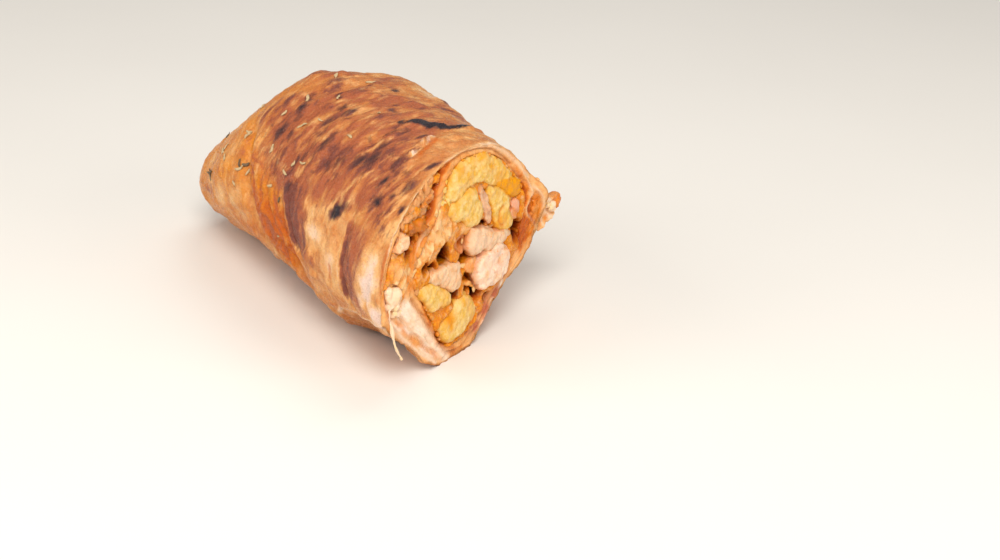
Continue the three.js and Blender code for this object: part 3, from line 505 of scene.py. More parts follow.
def skin_marks(x, angle, point):
    """Shares of scorch, mauve, char, cream, highlight, orange, gold and toast on the skin."""
    streaks = point * (1.0, 0.3, 0.3)
    broken = 0.5 + 0.5 * rough(streaks, 2.2, 51, 3)
    patchy = 0.5 + 0.5 * rough(point, 5.0, 53, 3)
    spots, blotches = blobs(CHAR_SPOTS, x, angle), blobs(BLOTCHES, x, angle)
    round_mm = angle * DEGREE
    field = region(on_skin(SCORCHED), x, round_mm, 4.0) * (1 - blobs(GOLD_GAPS, x, angle))
    fan = region(on_skin(FOLD_FAN), x, round_mm, 3.5)
    pleats, _ = pleat_wave(x, angle)
    bands, orange_lines = (
        lines([(on_skin(line), width, strength) for line, width, strength in strokes], x, round_mm)
        for strokes in (BROWN_BANDS, ORANGE_LINES)
    )
    # Painted shade: scorch laid on one side of each blister, as the shade under its puff
    under = [(at_x, at_angle + 4, long, wide, 0.8) for at_x, at_angle, long, wide, _ in BLISTERS]
    clouded = 0.45 * smooth((rough(point, 11.0, 57, 3) - 0.25) / 0.5) * (0.4 + 0.6 * broken)
    scorch = most(0.8 * field, blobs(SCORCH, x, angle)) * (0.55 + 0.75 * broken) + clouded
    scorch = most(scorch, blobs(under, x, angle))
    mauve = most(
        0.75 * blobs(MAUVE, x, angle) * (0.2 + 1.2 * broken),
        field * smooth((broken - 0.55) / 0.3) * smooth((patchy - 0.35) / 0.3),
        bands * (0.7 + 0.4 * broken),
        1.15 * blotches * (0.45 + 0.7 * broken),
        0.9 * np.sqrt(spots) * (0.6 + 0.4 * broken),
    )
    cream = most(
        blobs(CREAM, x, angle) * (0.35 + 0.75 * patchy),
        bell(skin_line(TORN_BLISTER, x, angle) / 1.1) * smooth(0.5 + 0.9 * grain(point, 1.3, 63)),
        0.9 * bell(skin_line(SHEET_END, x, angle)) * smooth((x - 98) / 6),
    )
    # Beyond each ledge the lapping sheet shades the one below: mauve and scorch are laid there as scorch
    # and painted shadow, sharp at the ledge and fading away from it, and the cream just before the ledge is
    # a painted highlight on the lapping edge
    for line, _, reach, strength in LEDGES:
        beyond, here = ledge_at(line, x, angle, 10, 14)
        shade = here * np.where(beyond < 0, bell(beyond / 0.5), np.exp(-((beyond / reach) ** 4)))
        far = 1 - 0.6 * smooth(beyond / reach)
        mauve = most(mauve, strength * shade * (0.3 + 0.9 * broken) * far)
        scorch = most(scorch, 1.2 * shade * (0.45 + 0.7 * patchy))
        cream = most(cream, 0.7 * bell((beyond + 1.2) / 0.9) * patchy * (angle > line[0][1]))
    thick = bell((angle - 87) / 8)
    burnt = bell(skin_line(CHAR_STREAK, x, angle) / (0.8 + 1.5 * thick))
    char = most(
        spots * (0.35 + 0.65 * patchy),
        1.1 * blotches**1.3 * (0.55 + 0.5 * broken),
        (1.2 + 0.9 * thick) * burnt * (0.15 + 1.3 * broken),
        0.6 * smooth((rough(streaks, 1.5, 61, 2) - 0.42) / 0.25) * smooth(field * 2 - 0.6),
    )
    from_cut = cut_at(point[..., 1], point[..., 2]) - x
    # Along the rim the skin rounds over onto the cut: scorch and mauve fade there and cream is laid, partly
    # the rim's paler outer layer and partly painted highlight
    by_rim = bell(from_cut / 1.6) * smooth((205 - angle) / 20) * smooth((angle - 20) / 20)
    halo = np.abs(skin_line(CREAM_HALO, x, angle))
    ringed = 0.35 * bell((halo - 4.4) / 2) * (0.4 + patchy)
    # In the fold fan the fold colour deepens in the pleats' valleys as painted shade
    folded = fan * (0.7 + 0.7 * smooth(0.35 - 0.9 * pleats)) * (0.6 + 0.6 * patchy)
    return {
        # The fold fan's pleat valleys add painted shade to the scorch
        "scorch": most(
            scorch * (1 - 0.9 * by_rim), 0.7 * fan * smooth(0.3 - 1.2 * pleats) * (0.2 + 0.9 * patchy)
        ),
        "mauve": mauve * (1 - 0.8 * by_rim),
        "char": char,
        "cream": most(cream, 0.75 * by_rim * (0.5 + 0.6 * patchy), ringed),
        # Painted highlights, also on the fold fan's pleat crests
        "highlight": most(
            blobs(HIGHLIGHT, x, angle) * (0.3 + 1.1 * patchy), 0.4 * fan * smooth(pleats - 0.2)
        ),
        "orange": most(
            folded * (0.55 + 0.85 * smooth((angle - 166) / 16)),
            # The lower side is painted more orange
            0.5 * zone("orange lower side", x, angle),
            orange_lines,
        ),
        "gold": most(
            0.7 * zone("golden end", x, angle) * (0.35 + 0.8 * patchy),
            1.1 * fan * (0.5 + 0.7 * patchy) * smooth((angle - 158) / 12),
        ),
        "toast": (0.6 + 0.5 * broken) * most(
            zone("toasted top", x, angle),
            0.6 * zone("toasted back", x, angle),
            blobs(TOASTED_BY_CUT, x, angle),
        ),
    }


# Meshes


def to_metres(points):
    return (np.asarray(points, float) - BASE_MIDDLE) * MM


def mark_points(made, marks):
    """Gives each of an object's points a number for each mark."""
    for mark, values in marks.items():
        layer = made.data.attributes.new(mark, "FLOAT", "POINT")
        layer.data.foreach_set("value", np.asarray(values, np.float32))


def placed_object(name, mesh):
    """New object with softly shaded faces."""
    mesh.polygons.foreach_set("use_smooth", [True] * len(mesh.polygons))
    made = bpy.data.objects.new(name, mesh)
    bpy.context.scene.collection.objects.link(made)
    return made


def new_object(name, points, faces, marks=None):
    """Mesh object from millimetre points of the roll."""
    mesh = bpy.data.meshes.new(name)
    mesh.from_pydata(to_metres(points).tolist(), [], [list(map(int, face)) for face in faces])
    mesh.update()
    made = placed_object(name, mesh)
    mark_points(made, marks or {})
    return made


def points_of(made):
    """Places and outward directions of an object's points, in the roll's millimetres."""
    mesh = made.data
    places, outward = np.empty((2, 3 * len(mesh.vertices)), np.float32)
    mesh.vertices.foreach_get("co", places)
    mesh.vertex_normals.foreach_get("vector", outward)
    return places.reshape(-1, 3) / MM + BASE_MIDDLE, outward.reshape(-1, 3).astype(float)


def move_points(made, points):
    made.data.vertices.foreach_set("co", to_metres(points).astype(np.float32).ravel())
    made.data.update()


def dress(made, material, slot, *nodes):
    """Gives the piece its material and puts it in the frame in place of the nodes."""
    made.data.materials.clear()
    made.data.materials.append(material)
    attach(made, "root")
    if nodes:
        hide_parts(*nodes)


def copy_of_node(name, node, voxel, passes):
    """The node's own form, rebuilt from even faces voxel metres wide and softened."""
    made = placed_object(name, frame["nodes"][node].data.copy())
    remesh = made.modifiers.new("even faces", "REMESH")
    remesh.mode = "VOXEL"
    remesh.voxel_size = voxel
    soften = made.modifiers.new("soften", "SMOOTH")
    soften.factor = 0.5
    soften.iterations = passes
    mesh = bpy.data.meshes.new_from_object(made.evaluated_get(bpy.context.evaluated_depsgraph_get()))
    made.modifiers.clear()
    made.data = mesh
    mesh.polygons.foreach_set("use_smooth", [True] * len(mesh.polygons))
    return made


def lump(size, seed, detail=2, roughness=0.35):
    """Points and faces of a small uneven lump with half sizes along its own three directions."""
    mesh = bmesh.new()
    bmesh.ops.create_icosphere(mesh, subdivisions=detail, radius=1)
    body = np.array([v.co for v in mesh.verts])
    faces = [[v.index for v in face.verts] for face in mesh.faces]
    mesh.free()
    body *= (1 + roughness * rough(body * 1.4 + 17 * seed, 1.0, 7, 2))[:, None]
    return body * np.array(size), faces


def joined(pieces):
    """One set of points and faces from many."""
    starts = np.cumsum([0] + [len(points) for points, _ in pieces])
    faces = [[start + i for i in face] for start, (_, own) in zip(starts, pieces) for face in own]
    return np.vstack([points for points, _ in pieces]), faces


def ring_faces(rings, sides):
    """Faces of a closed skin: a first point, rings of points and a last point."""
    here, beside = np.arange(sides), (np.arange(sides) + 1) % sides
    last = 1 + (rings - 1) * sides
    faces = [(0, 1 + b, 1 + a) for a, b in zip(here, beside)]
    for start in range(1, last, sides):
        faces += zip(start + here, start + beside, start + sides + beside, start + sides + here)
    return faces + [(last + sides, last + a, last + b) for a, b in zip(here, beside)]


# Materials


def linear(hex_colour):
    """Linear colour of an sRGB hex value."""
    parts = [int(hex_colour[i : i + 2], 16) / 255 for i in (1, 3, 5)]
    return (*[c / 12.92 if c <= 0.04045 else ((c + 0.055) / 1.055) ** 2.4 for c in parts], 1.0)


def add(tree, kind, inputs, output=0, **settings):
    """Adds a node with its settings, values and links, and gives back one of its outputs."""
    made = tree.nodes.new("ShaderNode" + kind)
    for key, value in settings.items():
        setattr(made, key, value)
    for key, value in inputs.items():
        if isinstance(value, bpy.types.NodeSocket):
            tree.links.new(value, made.inputs[key])
        else:
            made.inputs[key].default_value = value
    return made.outputs[output] if made.outputs else made


EVEN = (1, 1, 1)
DRAWN_OUT = (1, 0.3, 0.3)  # drawn out round the roll


def new_material(name, marks, patterns):
    """Material with an emptied tree, and the outputs for the marks and patterns that it uses.

    A pattern is a kind of texture, its real size in millimetres, its stretch, values and turn.
    """
    made = bpy.data.materials.new(name)
    made.use_nodes = True
    tree = made.node_tree
    tree.nodes.clear()
    sources = {mark: add(tree, "Attribute", {}, "Fac", attribute_name=mark) for mark in marks}
    place = add(tree, "TexCoord", {}, "Object")
    for pattern, (kind, size, stretch, values, *turn) in patterns.items():
        scale = [share / MM / size for share in stretch]
        vector = add(tree, "Mapping", {"Vector": place, "Scale": scale, "Rotation": turn or (0, 0, 0)})
        sources[pattern] = add(tree, "Tex" + kind, {"Vector": vector, "Scale": 1.0, **values})
    return made, tree, sources


def painted(tree, sources, ground, layers):
    """Lays colours over a ground, each where its source runs from one value to another.

    A layer is a source, the two values, how much it covers, its colour and, where a noise breaks up
    its edge, that noise and its share; the noise alone never makes the layer.
    """
    for name, low, high, cover, coat, *edge in layers:
        value = sources[name]
        if edge:
            noise, share = edge
            shift = {0: sources[noise], 1: share, 2: -share / 2}
            cover = add(tree, "Math", {0: value, 1: 8.0}, operation="MULTIPLY", use_clamp=True)
            value = add(tree, "Math", {0: value, 1: add(tree, "Math", shift, operation="MULTIPLY_ADD")})
        shown = add(tree, "MapRange", {"Value": value, "From Min": low, "From Max": high, "To Max": cover})
        ground = add(tree, "Mix", {0: shown, 6: ground, 7: coat}, 2, data_type="RGBA")
    return ground


def finish(tree, sources, base, bumps, **surface):
    """Principled surface with one bump over another, each a source and its depth in millimetres."""
    sockets = {"Base Color": base, **{key.replace("_", " "): value for key, value in surface.items()}}
    for name, depth in bumps.items():
        values = {"Height": sources[name], "Strength": 1.0, "Distance": depth * MM}
        if "Normal" in sockets:
            values["Normal"] = sockets["Normal"]
        sockets["Normal"] = add(tree, "Bump", values)
    add(tree, "OutputMaterial", {"Surface": add(tree, "BsdfPrincipled", sockets)})


# Settings


def colour(name, description, hex_colour):
    shade = linear(hex_colour)
    return bpy.props.FloatVectorProperty(
        name=name, description=description, subtype="COLOR", size=4, min=0, max=1, default=shade
    )


def length(name, description, millimetres):
    return bpy.props.FloatProperty(
        name=name, description=description, default=millimetres * MM, min=0, unit="LENGTH"
    )


def count(name, description, default):
    return bpy.props.IntProperty(name=name, description=description, default=default, min=60, max=400)


class LavashSettings(bpy.types.PropertyGroup):
    tan: colour("Tan", "Bread warmed by the griddle", "#D38C4A")
    toasted: colour("Toasted", "Bread a little browner", "#BB6E3A")
    gold: colour("Gold", "Oiled bread of the closed end", "#D5821C")
    cream: colour("Cream", "Bread that the griddle hardly touched", "#EEBC7E")
    pale: colour("Pale", "Palest bread", "#EFC9A4")
    scorch: colour("Scorch", "Reddish-brown scorch", "#A65A38")
    mauve: colour("Mauve", "Scorch that turned mauve-brown", "#7A4336")
    char: colour("Char", "Charred spots", "#2E2428")
    blush: colour("Blush", "Inner sheet that turned pinkish brown", "#BE6A48")
    # Also painted shade: this dark colour lies in the gaps between the cut's layers, on its shaded inner
    # wall and on the walls of its hollows
    crevice_sauce_and_shade: colour("Crevice", "Dark sauce between the layers", "#A23F08")
    fold: colour("Fold", "Sauce and oil in the folds", "#BE5A10")
    crumb: colour("Crumb", "Cut face of the bread", "#EFB272")
    soaked: colour("Soaked", "Cut face soaked with sauce", "#DE7F26")
    sides: count("Sides", "Points round the skin", 360)
    rings: count("Rings", "Rings along the skin", 188)


class FillingSettings(bpy.types.PropertyGroup):
    sauce: colour("Sauce", "Orange sauce", "#D67A10")
    # Painted shadow: near-black laid in the deepest openings of the filling
    hole_shadow: colour("Deep sauce", "Sauce in the gaps", "#1E0804")
    cheese: colour("Cheese", "Melted cheese", "#F0C9A6")
    potato: colour("Potato", "Fried potato", "#DAA840")
    potato_gold: colour("Golden potato", "Oilier parts of the potato", "#E0930A")
    piece_face: length("Face of a piece", "Width of one face of a piece's mesh", 0.45)
    filling_face: length("Face of the filling", "Width of one face of the filling's mesh", 1.0)


class StageSettings(bpy.types.PropertyGroup):
    floor: colour("Floor", "Pale floor", "#E9E4DC")
    lens: bpy.props.FloatProperty(
        name="Lens", description="Focal length in mm", default=67.8, min=10, max=200
    )


# Flatbread

FINE_STEPS = 44  # rings of the cut face that lie close together, where its layers show
COARSE_STEPS = 30
STEP_RATIO = 1.9
CAP_REACH = 0.94  # share of the way from the rim to the middle that the rings cover
CAP_MIDDLE = (-3.0, 29.0)
SHEET_THICKNESS = 2.1  # of one turn of the bread, as the ripples of the cut face show it
CROWDING = 0.28  # how much closer the skin's rings lie near the cut
SETTLING_ROUNDS = 10  # that bring the last ring onto the slanted cut
LIP_POINTS = 96
LIP_THICKNESS = 0.9
LIP_CLEAR = 9.0  # how far the lips lie from the hollows of the cut
LIP_GROOVES = 0.5  # share of the depth of the cut face's grooves that a lip gets
DEEPEST_LIP_GROOVE = 0.75
# Heights of the cut face's relief
CUT_RELIEF = {"ripple": 0.12, "torn": 0.22, "uneven": 0.3, "rounded rim": 0.8, "rounded hollow": 0.5}
# Places on the cut, as (across, up). Lines between the layers, with half width, depth and darkness; the
# darkness is dark sauce and painted shade in the gap
LAYER_LINES = [
    ([(-10.5, 27.8), (-5, 29.3), (1.5, 29.9), (8, 29), (14, 26.8), (19.5, 22.8), (23, 19.4)],
     0.3, 0.7, 0.5),
    ([(11.7, 25.4), (18.9, 21.3), (25.1, 15.4), (29.3, 10.9), (30.4, 8), (29.8, 6), (28.6, 4.4)],
     0.5, 1, 0.75),
    ([(33.4, 5.4), (31.9, 3), (32.8, 0.2), (35.2, -2.6), (37.8, -5.8)], 0.5, 0.8, 0.75),
    ([(-9.2, 27.2), (-11.4, 23), (-12.6, 19.6), (-14.6, 16.6), (-17.6, 12.9), (-20.4, 10)], 0.9, 0.9, 0.6),
    ([(-21.1, -5.8), (-17.6, -10.8), (-13.1, -17.6), (-8.6, -23.6), (-5.5, -28.6), (-1.5, -30)],
     0.55, 0.9, 0.4),
    ([(-27, -7.4), (-22.8, -13.6), (-16, -21.4), (-10.6, -27)], 0.6, 0.5, 0.15),
    ([(-30.5, 6), (-31.8, -4), (-28.5, -12.6), (-22.6, -19.4)], 0.5, 0.35, 0.15),
    ([(1.8, -29.4), (9, -26), (15, -20), (20.5, -15.6), (24.6, -12.6)], 0.4, 0.5, 0.3),
]
# Thin edges of sheets that stand proud, with half width and height; their paler colour is partly the
# crumb's edge and partly painted highlight
RIDGES = [
    ([(27, 19), (29, 15), (31.5, 11), (33.2, 8), (33, 5.5), (31, 3.5), (32.2, 0.5), (34.5, -2),
     (37.2, -5.2), (37.8, -6.8)], 0.5, 0.6),
    ([(33.6, 9.5), (36.2, 7.2), (38.3, 4.4), (39, 2), (39, 0), (39, -2), (39.4, -4.5), (40.2, -6)],
     0.5, 0.5),
]
RIGHT_LAYERS = [
    (22, 24), (30, 16), (34, 10), (39, 6), (42, 1), (40, -6), (34, -9), (26, -14), (24, -10), (30, 0),
    (29, 10), (22, 19),
]
# Inner faces of sheets, soaked with sauce, with strength and depth
ORANGE_FACES = [
    ([(28.4, 5.6), (30.6, 6.8), (32.2, 7.5), (31.5, 5), (30.4, 3.4), (31.4, 0.4), (33.8, -2.4),
     (36.6, -5.4), (37.6, -7), (34, -7.4), (30, -8.5), (26, -8), (25, -2), (26, 1), (27.4, 4)], 1.6, 0.6),
    ([(33.8, 6.8), (36.2, 6.6), (38, 4.4), (38.2, 2), (38.1, -1), (38.5, -5.4), (37.8, -6.2), (35.4, -3.4),
     (33, 0.2), (31.8, 2.6), (33, 4.6)], 0.95, 0.8),
    ([(43.6, 2.8), (47, 2.6), (49.8, 0.8), (49.6, -1.4), (48, -3.6), (45.8, -3.4), (45.6, -1), (44.4, 0.8)],
     1, 0.3),
]
# Spots, as across, up, size, strength: darkest sauce with painted shade on the shaded walls and gaps, sauce
# drawn into the bread, pinkish brown
SHADED_SAUCE_SPOTS = [
    (25, 0.5, 2.6, 1.1), (25.4, -2.6, 2.8, 1.1), (27, -5.6, 2.6, 1), (28.8, 1, 1.8, 0.8),
    (29.4, -7.4, 2, 0.8), (30.4, -4.6, 1.8, 0.6), (32.5, 3.2, 0.9, 0.9), (33, 1.2, 0.9, 0.9),
    (34.4, -1, 0.8, 0.6), (37, -4.8, 0.8, 0.6), (-13.6, 17.2, 1.4, 0.7), (-11.6, 21.4, 1.4, 0.7),
    (-10, 25, 1.3, 0.6), (-16.6, 13.8, 1.4, 0.6),
]
STAINS = [
    (10, -19.4, 2.2, 0.9), (12.6, -16.8, 2, 0.8), (7.6, -22, 2, 0.7), (-10.4, 25, 3.2, 1),
    (-12.6, 20.5, 2.4, 1), (-15.5, 17, 2.2, 0.9), (28, 0, 3, 1.6), (27, -4, 3, 1.5), (31, -6, 3.5, 1.2),
    (24, -12.5, 3.5, 0.9), (29, -9, 1.6, 1.5), (32.7, 1.6, 1.3, 1.7), (-5, 29.4, 3, 0.8),
    (-21.8, 4, 2, 0.7), (-13, -15, 2.2, 0.5), (-9.6, -22.5, 2, 0.55), (-30.4, -6, 2.2, 0.8),
    (41, -3.6, 1.3, 1), (-26, -12, 2, 0.7), (-19.6, -19.6, 2, 0.5), (-3, -30, 2.2, 0.5), (4, 28.6, 3, 0.3),
    (43, 0, 1.5, 0.3),
]
BLUSHES = [
    (11.5, -21.5, 4.5, 1.6), (7.5, -25.5, 4, 1.5), (16, -18.4, 3.6, 1.2), (-12.8, -16.2, 1.2, 0.7),
    (-2, -29, 2.5, 0.6), (22, -15, 3, 0.6),
]
CREAMY = [
    (-31.5, 4), (-29.5, -5.5), (-22.5, -5), (-19, -11), (-13.4, -18.4), (-8.4, -25), (-6, -30.5),
    (-14, -28), (-22, -20), (-29, -11),
]
SOAKED = [
    (-9.5, 29), (-13, 20.6), (-18.4, 16.4), (-24, 11.5), (-25.5, 3), (-26.6, -4.4), (-22, -6), (-18.4, -1),
    (-20.4, 2), (-17.6, 8), (-11.5, 13.5), (-8, 19.5), (-5.6, 25.4), (0, 29.4), (-4, 29.8),
]
# Sauce along the layers and paler streaks, with half width and strength; among the streaks are a painted
# sheen along the inner band and a painted highlight on the rounded rim
SAUCE_LINES = [
    ([(-30.7, -4.2), (-29, -7.9), (-24.4, -14.4), (-17.4, -21), (-11.2, -26.6), (-8, -29.5)], 0.9, 0.62),
    ([(-16.3, -10.1), (-14, -14.1), (-11.3, -19.6), (-7.2, -24.8), (-3, -28.5), (1.6, -29.9)], 0.7, 0.8),
    ([(-6.5, 28.6), (-9.2, 26.6), (-11, 23.4), (-12, 20.4), (-13.4, 17.6), (-15.8, 14.2), (-19.2, 11)],
     1.5, 1.9),
    ([(29.4, 10.6), (30.6, 8.2), (29.8, 6), (28.4, 3.6), (27.2, 0)], 1.1, 1.6),
    ([(25.6, 17.2), (28, 14.6), (30.2, 11.6), (31.4, 9)], 0.9, 1.1), ([(-8, 28.4), (-4, 29.6)], 0.9, 1.5),
]
CREAM_LINES = [
    ([(-31.9, -2), (-30.3, -8), (-25.2, -15.5), (-18.3, -22.8), (-10.2, -29.8)], 0.7, 0.9),
    ([(-24.5, -5.6), (-21, -10), (-15.7, -17.4), (-11.2, -24), (-5.7, -30.2)], 1.8, 1),
    # Painted sheen along the inner band's edge towards the core
    ([(2, 24.6), (-4.6, 20.6), (-9, 17), (-14, 13.8), (-18.6, 8.4), (-20, 3), (-19, -2)], 0.8, 0.55),
    ([(20.5, -16.4), (16.6, -20), (13.8, -23), (9.4, -27.8)], 0.6, 1.3),
    ([(40.4, 3.4), (42.4, 1.8)], 1.2, 0.9),
    # The rim's top: its paler outer layer, with painted highlight where it rounds over
    ([(-3.5, 31), (6, 30.6), (14, 28), (21, 23.6), (27, 18), (31.4, 12.8)], 0.7, 0.6),
    ([(39.6, 2), (41.6, -2.4), (44, -4.4)], 1.2, 0.7),
]
# Rings of a torn lip, as share of its outline and distance behind its front
LIP_RINGS = [
    (0.15, 0.9), (0.3, 0.8), (0.45, 0.55), (0.6, 0.3), (0.72, 0.15), (0.84, 0.1), (0.93, 0.3), (1, 0.9),
    (0.99, 1.8), (0.92, 3), (0.5, 4.9),
]


def face_spots(places, y, up):
    """Soft round spots on the cut."""
    return most(*[
        strength * np.exp(-((y - at_y) ** 2 + (up - at_up) ** 2) / size**2)
        for at_y, at_up, size, strength in places
    ])


def face_marks(points, clear):
    """Shares of sauce, blush, dark line and cream on the cut bread, and the depth of its grooves. The dark
    line is dark sauce with painted shade, in the gaps between the layers and on the shaded inner wall.
    """
    y, up = points[:, 1], points[:, 2] - MID_HEIGHT
    dark, grooves = np.zeros((2, len(y)))
    waver = 1 + 0.35 * rough(points, 3.0, 91, 2)
    for line, half_width, depth, darkness in LAYER_LINES:
        away = line_distance(line, y, up)[0] / waver
        grooves = most(grooves, depth * bell(away / half_width))
        dark = most(dark, darkness * bell(away / (1.25 * half_width)))
    mottled = 0.75 + 0.5 * rough(points, 3.0, 89, 3)
    lengthwise = np.stack([(y - up) / 5, (y + up) / 1.3, 0 * y], -1)  # along the lower left fold
    streaked = 0.75 + 0.8 * rough(lengthwise, 1.6, 95, 3)
    soak = most(face_spots(STAINS, y, up), 0.7 * region(SOAKED, y, up, 2.5))
    soak = most(soak, 0.62 * region(RIGHT_LAYERS, y, up, 3.0) * mottled)
    for outline, strength, depth in ORANGE_FACES:
        soak = most(soak, strength * region(outline, y, up, 0.9))
        grooves += depth * region(outline, y, up, 2.0)
    soak = most(soak, lines(SAUCE_LINES, y, up)) * mottled + 0.4 * np.exp(-clear / 0.8)
    creamy = most(region(CREAMY, y, up, 2.0) * streaked, lines(CREAM_LINES, y, up))
    for line, half_width, height in RIDGES:
        on_edge = bell(line_distance(line, y, up)[0] / half_width)
        grooves -= height * on_edge
        # Paler ridges: the sheet's own edge, with painted highlight
        creamy = most(creamy, 0.62 * on_edge * mottled)
        soak *= 1 - 0.7 * on_edge
    # Painted shade on the shaded inner walls and gaps, as part of the dark line
    dark = most(dark, face_spots(SHADED_SAUCE_SPOTS, y, up) * (0.6 + 0.5 * mottled))
    blush = face_spots(BLUSHES, y, up) * mottled
    return {"soak": soak, "blush": blush, "line": dark, "creamy": creamy}, grooves


def open_hollows(y, up):
    """Moves face points that lie near a hollow's edge onto it; gives places, what is inside, distance."""
    inside = np.zeros(len(y), bool)
    clear = np.full(len(y), 1e9)
    for outline in (closed_curve(CORE, 240), closed_curve(POCKET, 180)):
        away, nearest = outline_distance(outline, y, up)
        near = np.abs(away) < SNAP
        y, up = np.where(near, nearest, (y, up))
        inside |= (away < 0) & ~near
        clear = np.where(near, 0, np.minimum(clear, np.abs(away)))
    return y, up, inside, clear


def roll_skin(sides, rings):
    """Places and marks of the skin, ring by ring to the rim, and how far the rim stands off the cut."""
    angle = np.arange(sides) * 360 / sides
    even = np.arange(1, rings + 1) / rings
    share = (even * (1 + CROWDING - CROWDING * even))[:, None] + 0 * angle
    angle = angle + 0 * share
    point = skin_point(share * AXIS_LENGTH, angle)
    for _ in range(SETTLING_ROUNDS):
        point = skin_point(share * cut_at(point[..., 1], point[..., 2]), angle)
    x = point[..., 0]
    point = skin_point(x, angle, skin_relief(x, angle, point))
    turned = turn_between(angle, FLAP["angle"])
    flare = bell(turned / np.where(turned > 0, FLAP["spread above"], FLAP["spread"]))
    flare = flare * bell((1 - share) * AXIS_LENGTH / FLAP["length"])
    point[..., 1] += FLAP["height"] * flare
    point[..., 0] += flare
    marks = skin_marks(x, angle, point)
    rim = point[-1]
    off_cut = rim[:, 0] - cut_at(rim[:, 1], rim[:, 2])
    rim[:, 0] += (0.35 + 0.55 * bell(turn_between(angle[0], 215) / 45)) * rough(rim, 1.8, 71, 3)
    return point, marks, off_cut


def cut_face(rim, off_cut):
    """Places and marks of the cut face in rings from the rim inwards, and how far in each place is."""
    steps = np.append(np.ones(FINE_STEPS), np.full(COARSE_STEPS, STEP_RATIO))
    shrink = (1 - CAP_REACH * np.cumsum(steps) / steps.sum())[:, None]
    across, high = rim[:, 1] - CAP_MIDDLE[0], rim[:, 2] - CAP_MIDDLE[1]
    inwards = ((1 - shrink) * np.hypot(across, high)).ravel()
    y = (CAP_MIDDLE[0] + across * shrink).ravel()
    z = (CAP_MIDDLE[1] + high * shrink).ravel()
    y, up, inside, clear = open_hollows(y, z - MID_HEIGHT)
    z = up + MID_HEIGHT
    face = np.stack([cut_at(y, z), y, z], -1)
    marks, grooves = face_marks(face, clear)
    lean = (off_cut + 0 * shrink).ravel() * np.exp(-inwards / 5)
    ripple = 2 * math.pi * inwards / SHEET_THICKNESS + 1.2 * rough(face, 9.0, 73, 2)
    torn = CUT_RELIEF["torn"] * rough(face, 2.6, 79, 3) + CUT_RELIEF["uneven"] * rough(face, 8.0, 83, 2)
    rounded = CUT_RELIEF["rounded rim"] * np.exp(-inwards / 0.6)
    rounded += CUT_RELIEF["rounded hollow"] * np.exp(-clear / 1.0)
    face[:, 0] += lean + CUT_RELIEF["ripple"] * np.sin(ripple) + torn - rounded - grooves
    wall = inside * WALL_SLOPE * clear**1.3
    face[:, 0] = np.where(inside, np.maximum(face[:, 0] - wall, HOLLOW_FLOOR), face[:, 0])
    marks["layer"] = 0.5 + 0.5 * np.sin(ripple + 2)
    marks["cut"] = np.clip(inwards / 0.7, 0, 1)
    marks["shade"] = smooth(wall / 3.5)
    return face, marks, inwards


def lavash_mesh(sides, rings):
    """The skin from the closed end to the rim, then the cut face with its hollows."""
    skin, skin_shares, off_cut = roll_skin(sides, rings)
    face, face_shares, inwards = cut_face(skin[-1], off_cut)
    middle = np.array([HOLLOW_FLOOR, *CAP_MIDDLE])
    points = np.vstack([skin_point(np.zeros(1), np.zeros(1)), skin.reshape(-1, 3), face, middle])
    marks = {}
    for name, values in skin_shares.items():
        edge = np.tile(values[-1], len(face) // sides) * np.exp(-inwards / 0.8)
        marks[name] = np.concatenate([[0], values.ravel(), edge, [0]])
    for name, values in face_shares.items():
        at_middle = [name in ("cut", "soak", "shade")]
        marks[name] = np.concatenate([np.zeros(1 + rings * sides), values, at_middle])
    return points, ring_faces(rings + len(face) // sides, sides), marks


def torn_lip_mesh(proud, run, corners, seed):
    """Thin torn lip of bread, ragged at its edge and rippled."""
    outline = closed_curve(corners, LIP_POINTS)
    middle = outline.mean(0)
    turn = np.arange(LIP_POINTS) * 2 * math.pi / LIP_POINTS
    jag = 0.13 * rough(np.stack([np.cos(turn), np.sin(turn), 0 * turn], -1) * 4.5 + seed, 1.0, 93, 3)
    rings = [middle + (outline - middle) * (size * (1 + jag * size))[:, None] for size, _ in LIP_RINGS]
    behind = [LIP_THICKNESS, *np.repeat([min(back, run) for _, back in LIP_RINGS], LIP_POINTS), run]
    across, up = np.vstack([middle, *rings, middle]).T
    z = MID_HEIGHT + up
    points = np.stack([cut_at(across, z) + proud - behind, across, z], -1)
    points[:, 0] += 0.7 * rough(points, 3.4, 97 + seed, 3)
    points[:, 2] += 0.3 * rough(points, 2.4, 101 + seed, 2)
    return points, [face[::-1] for face in ring_faces(len(LIP_RINGS), LIP_POINTS)]


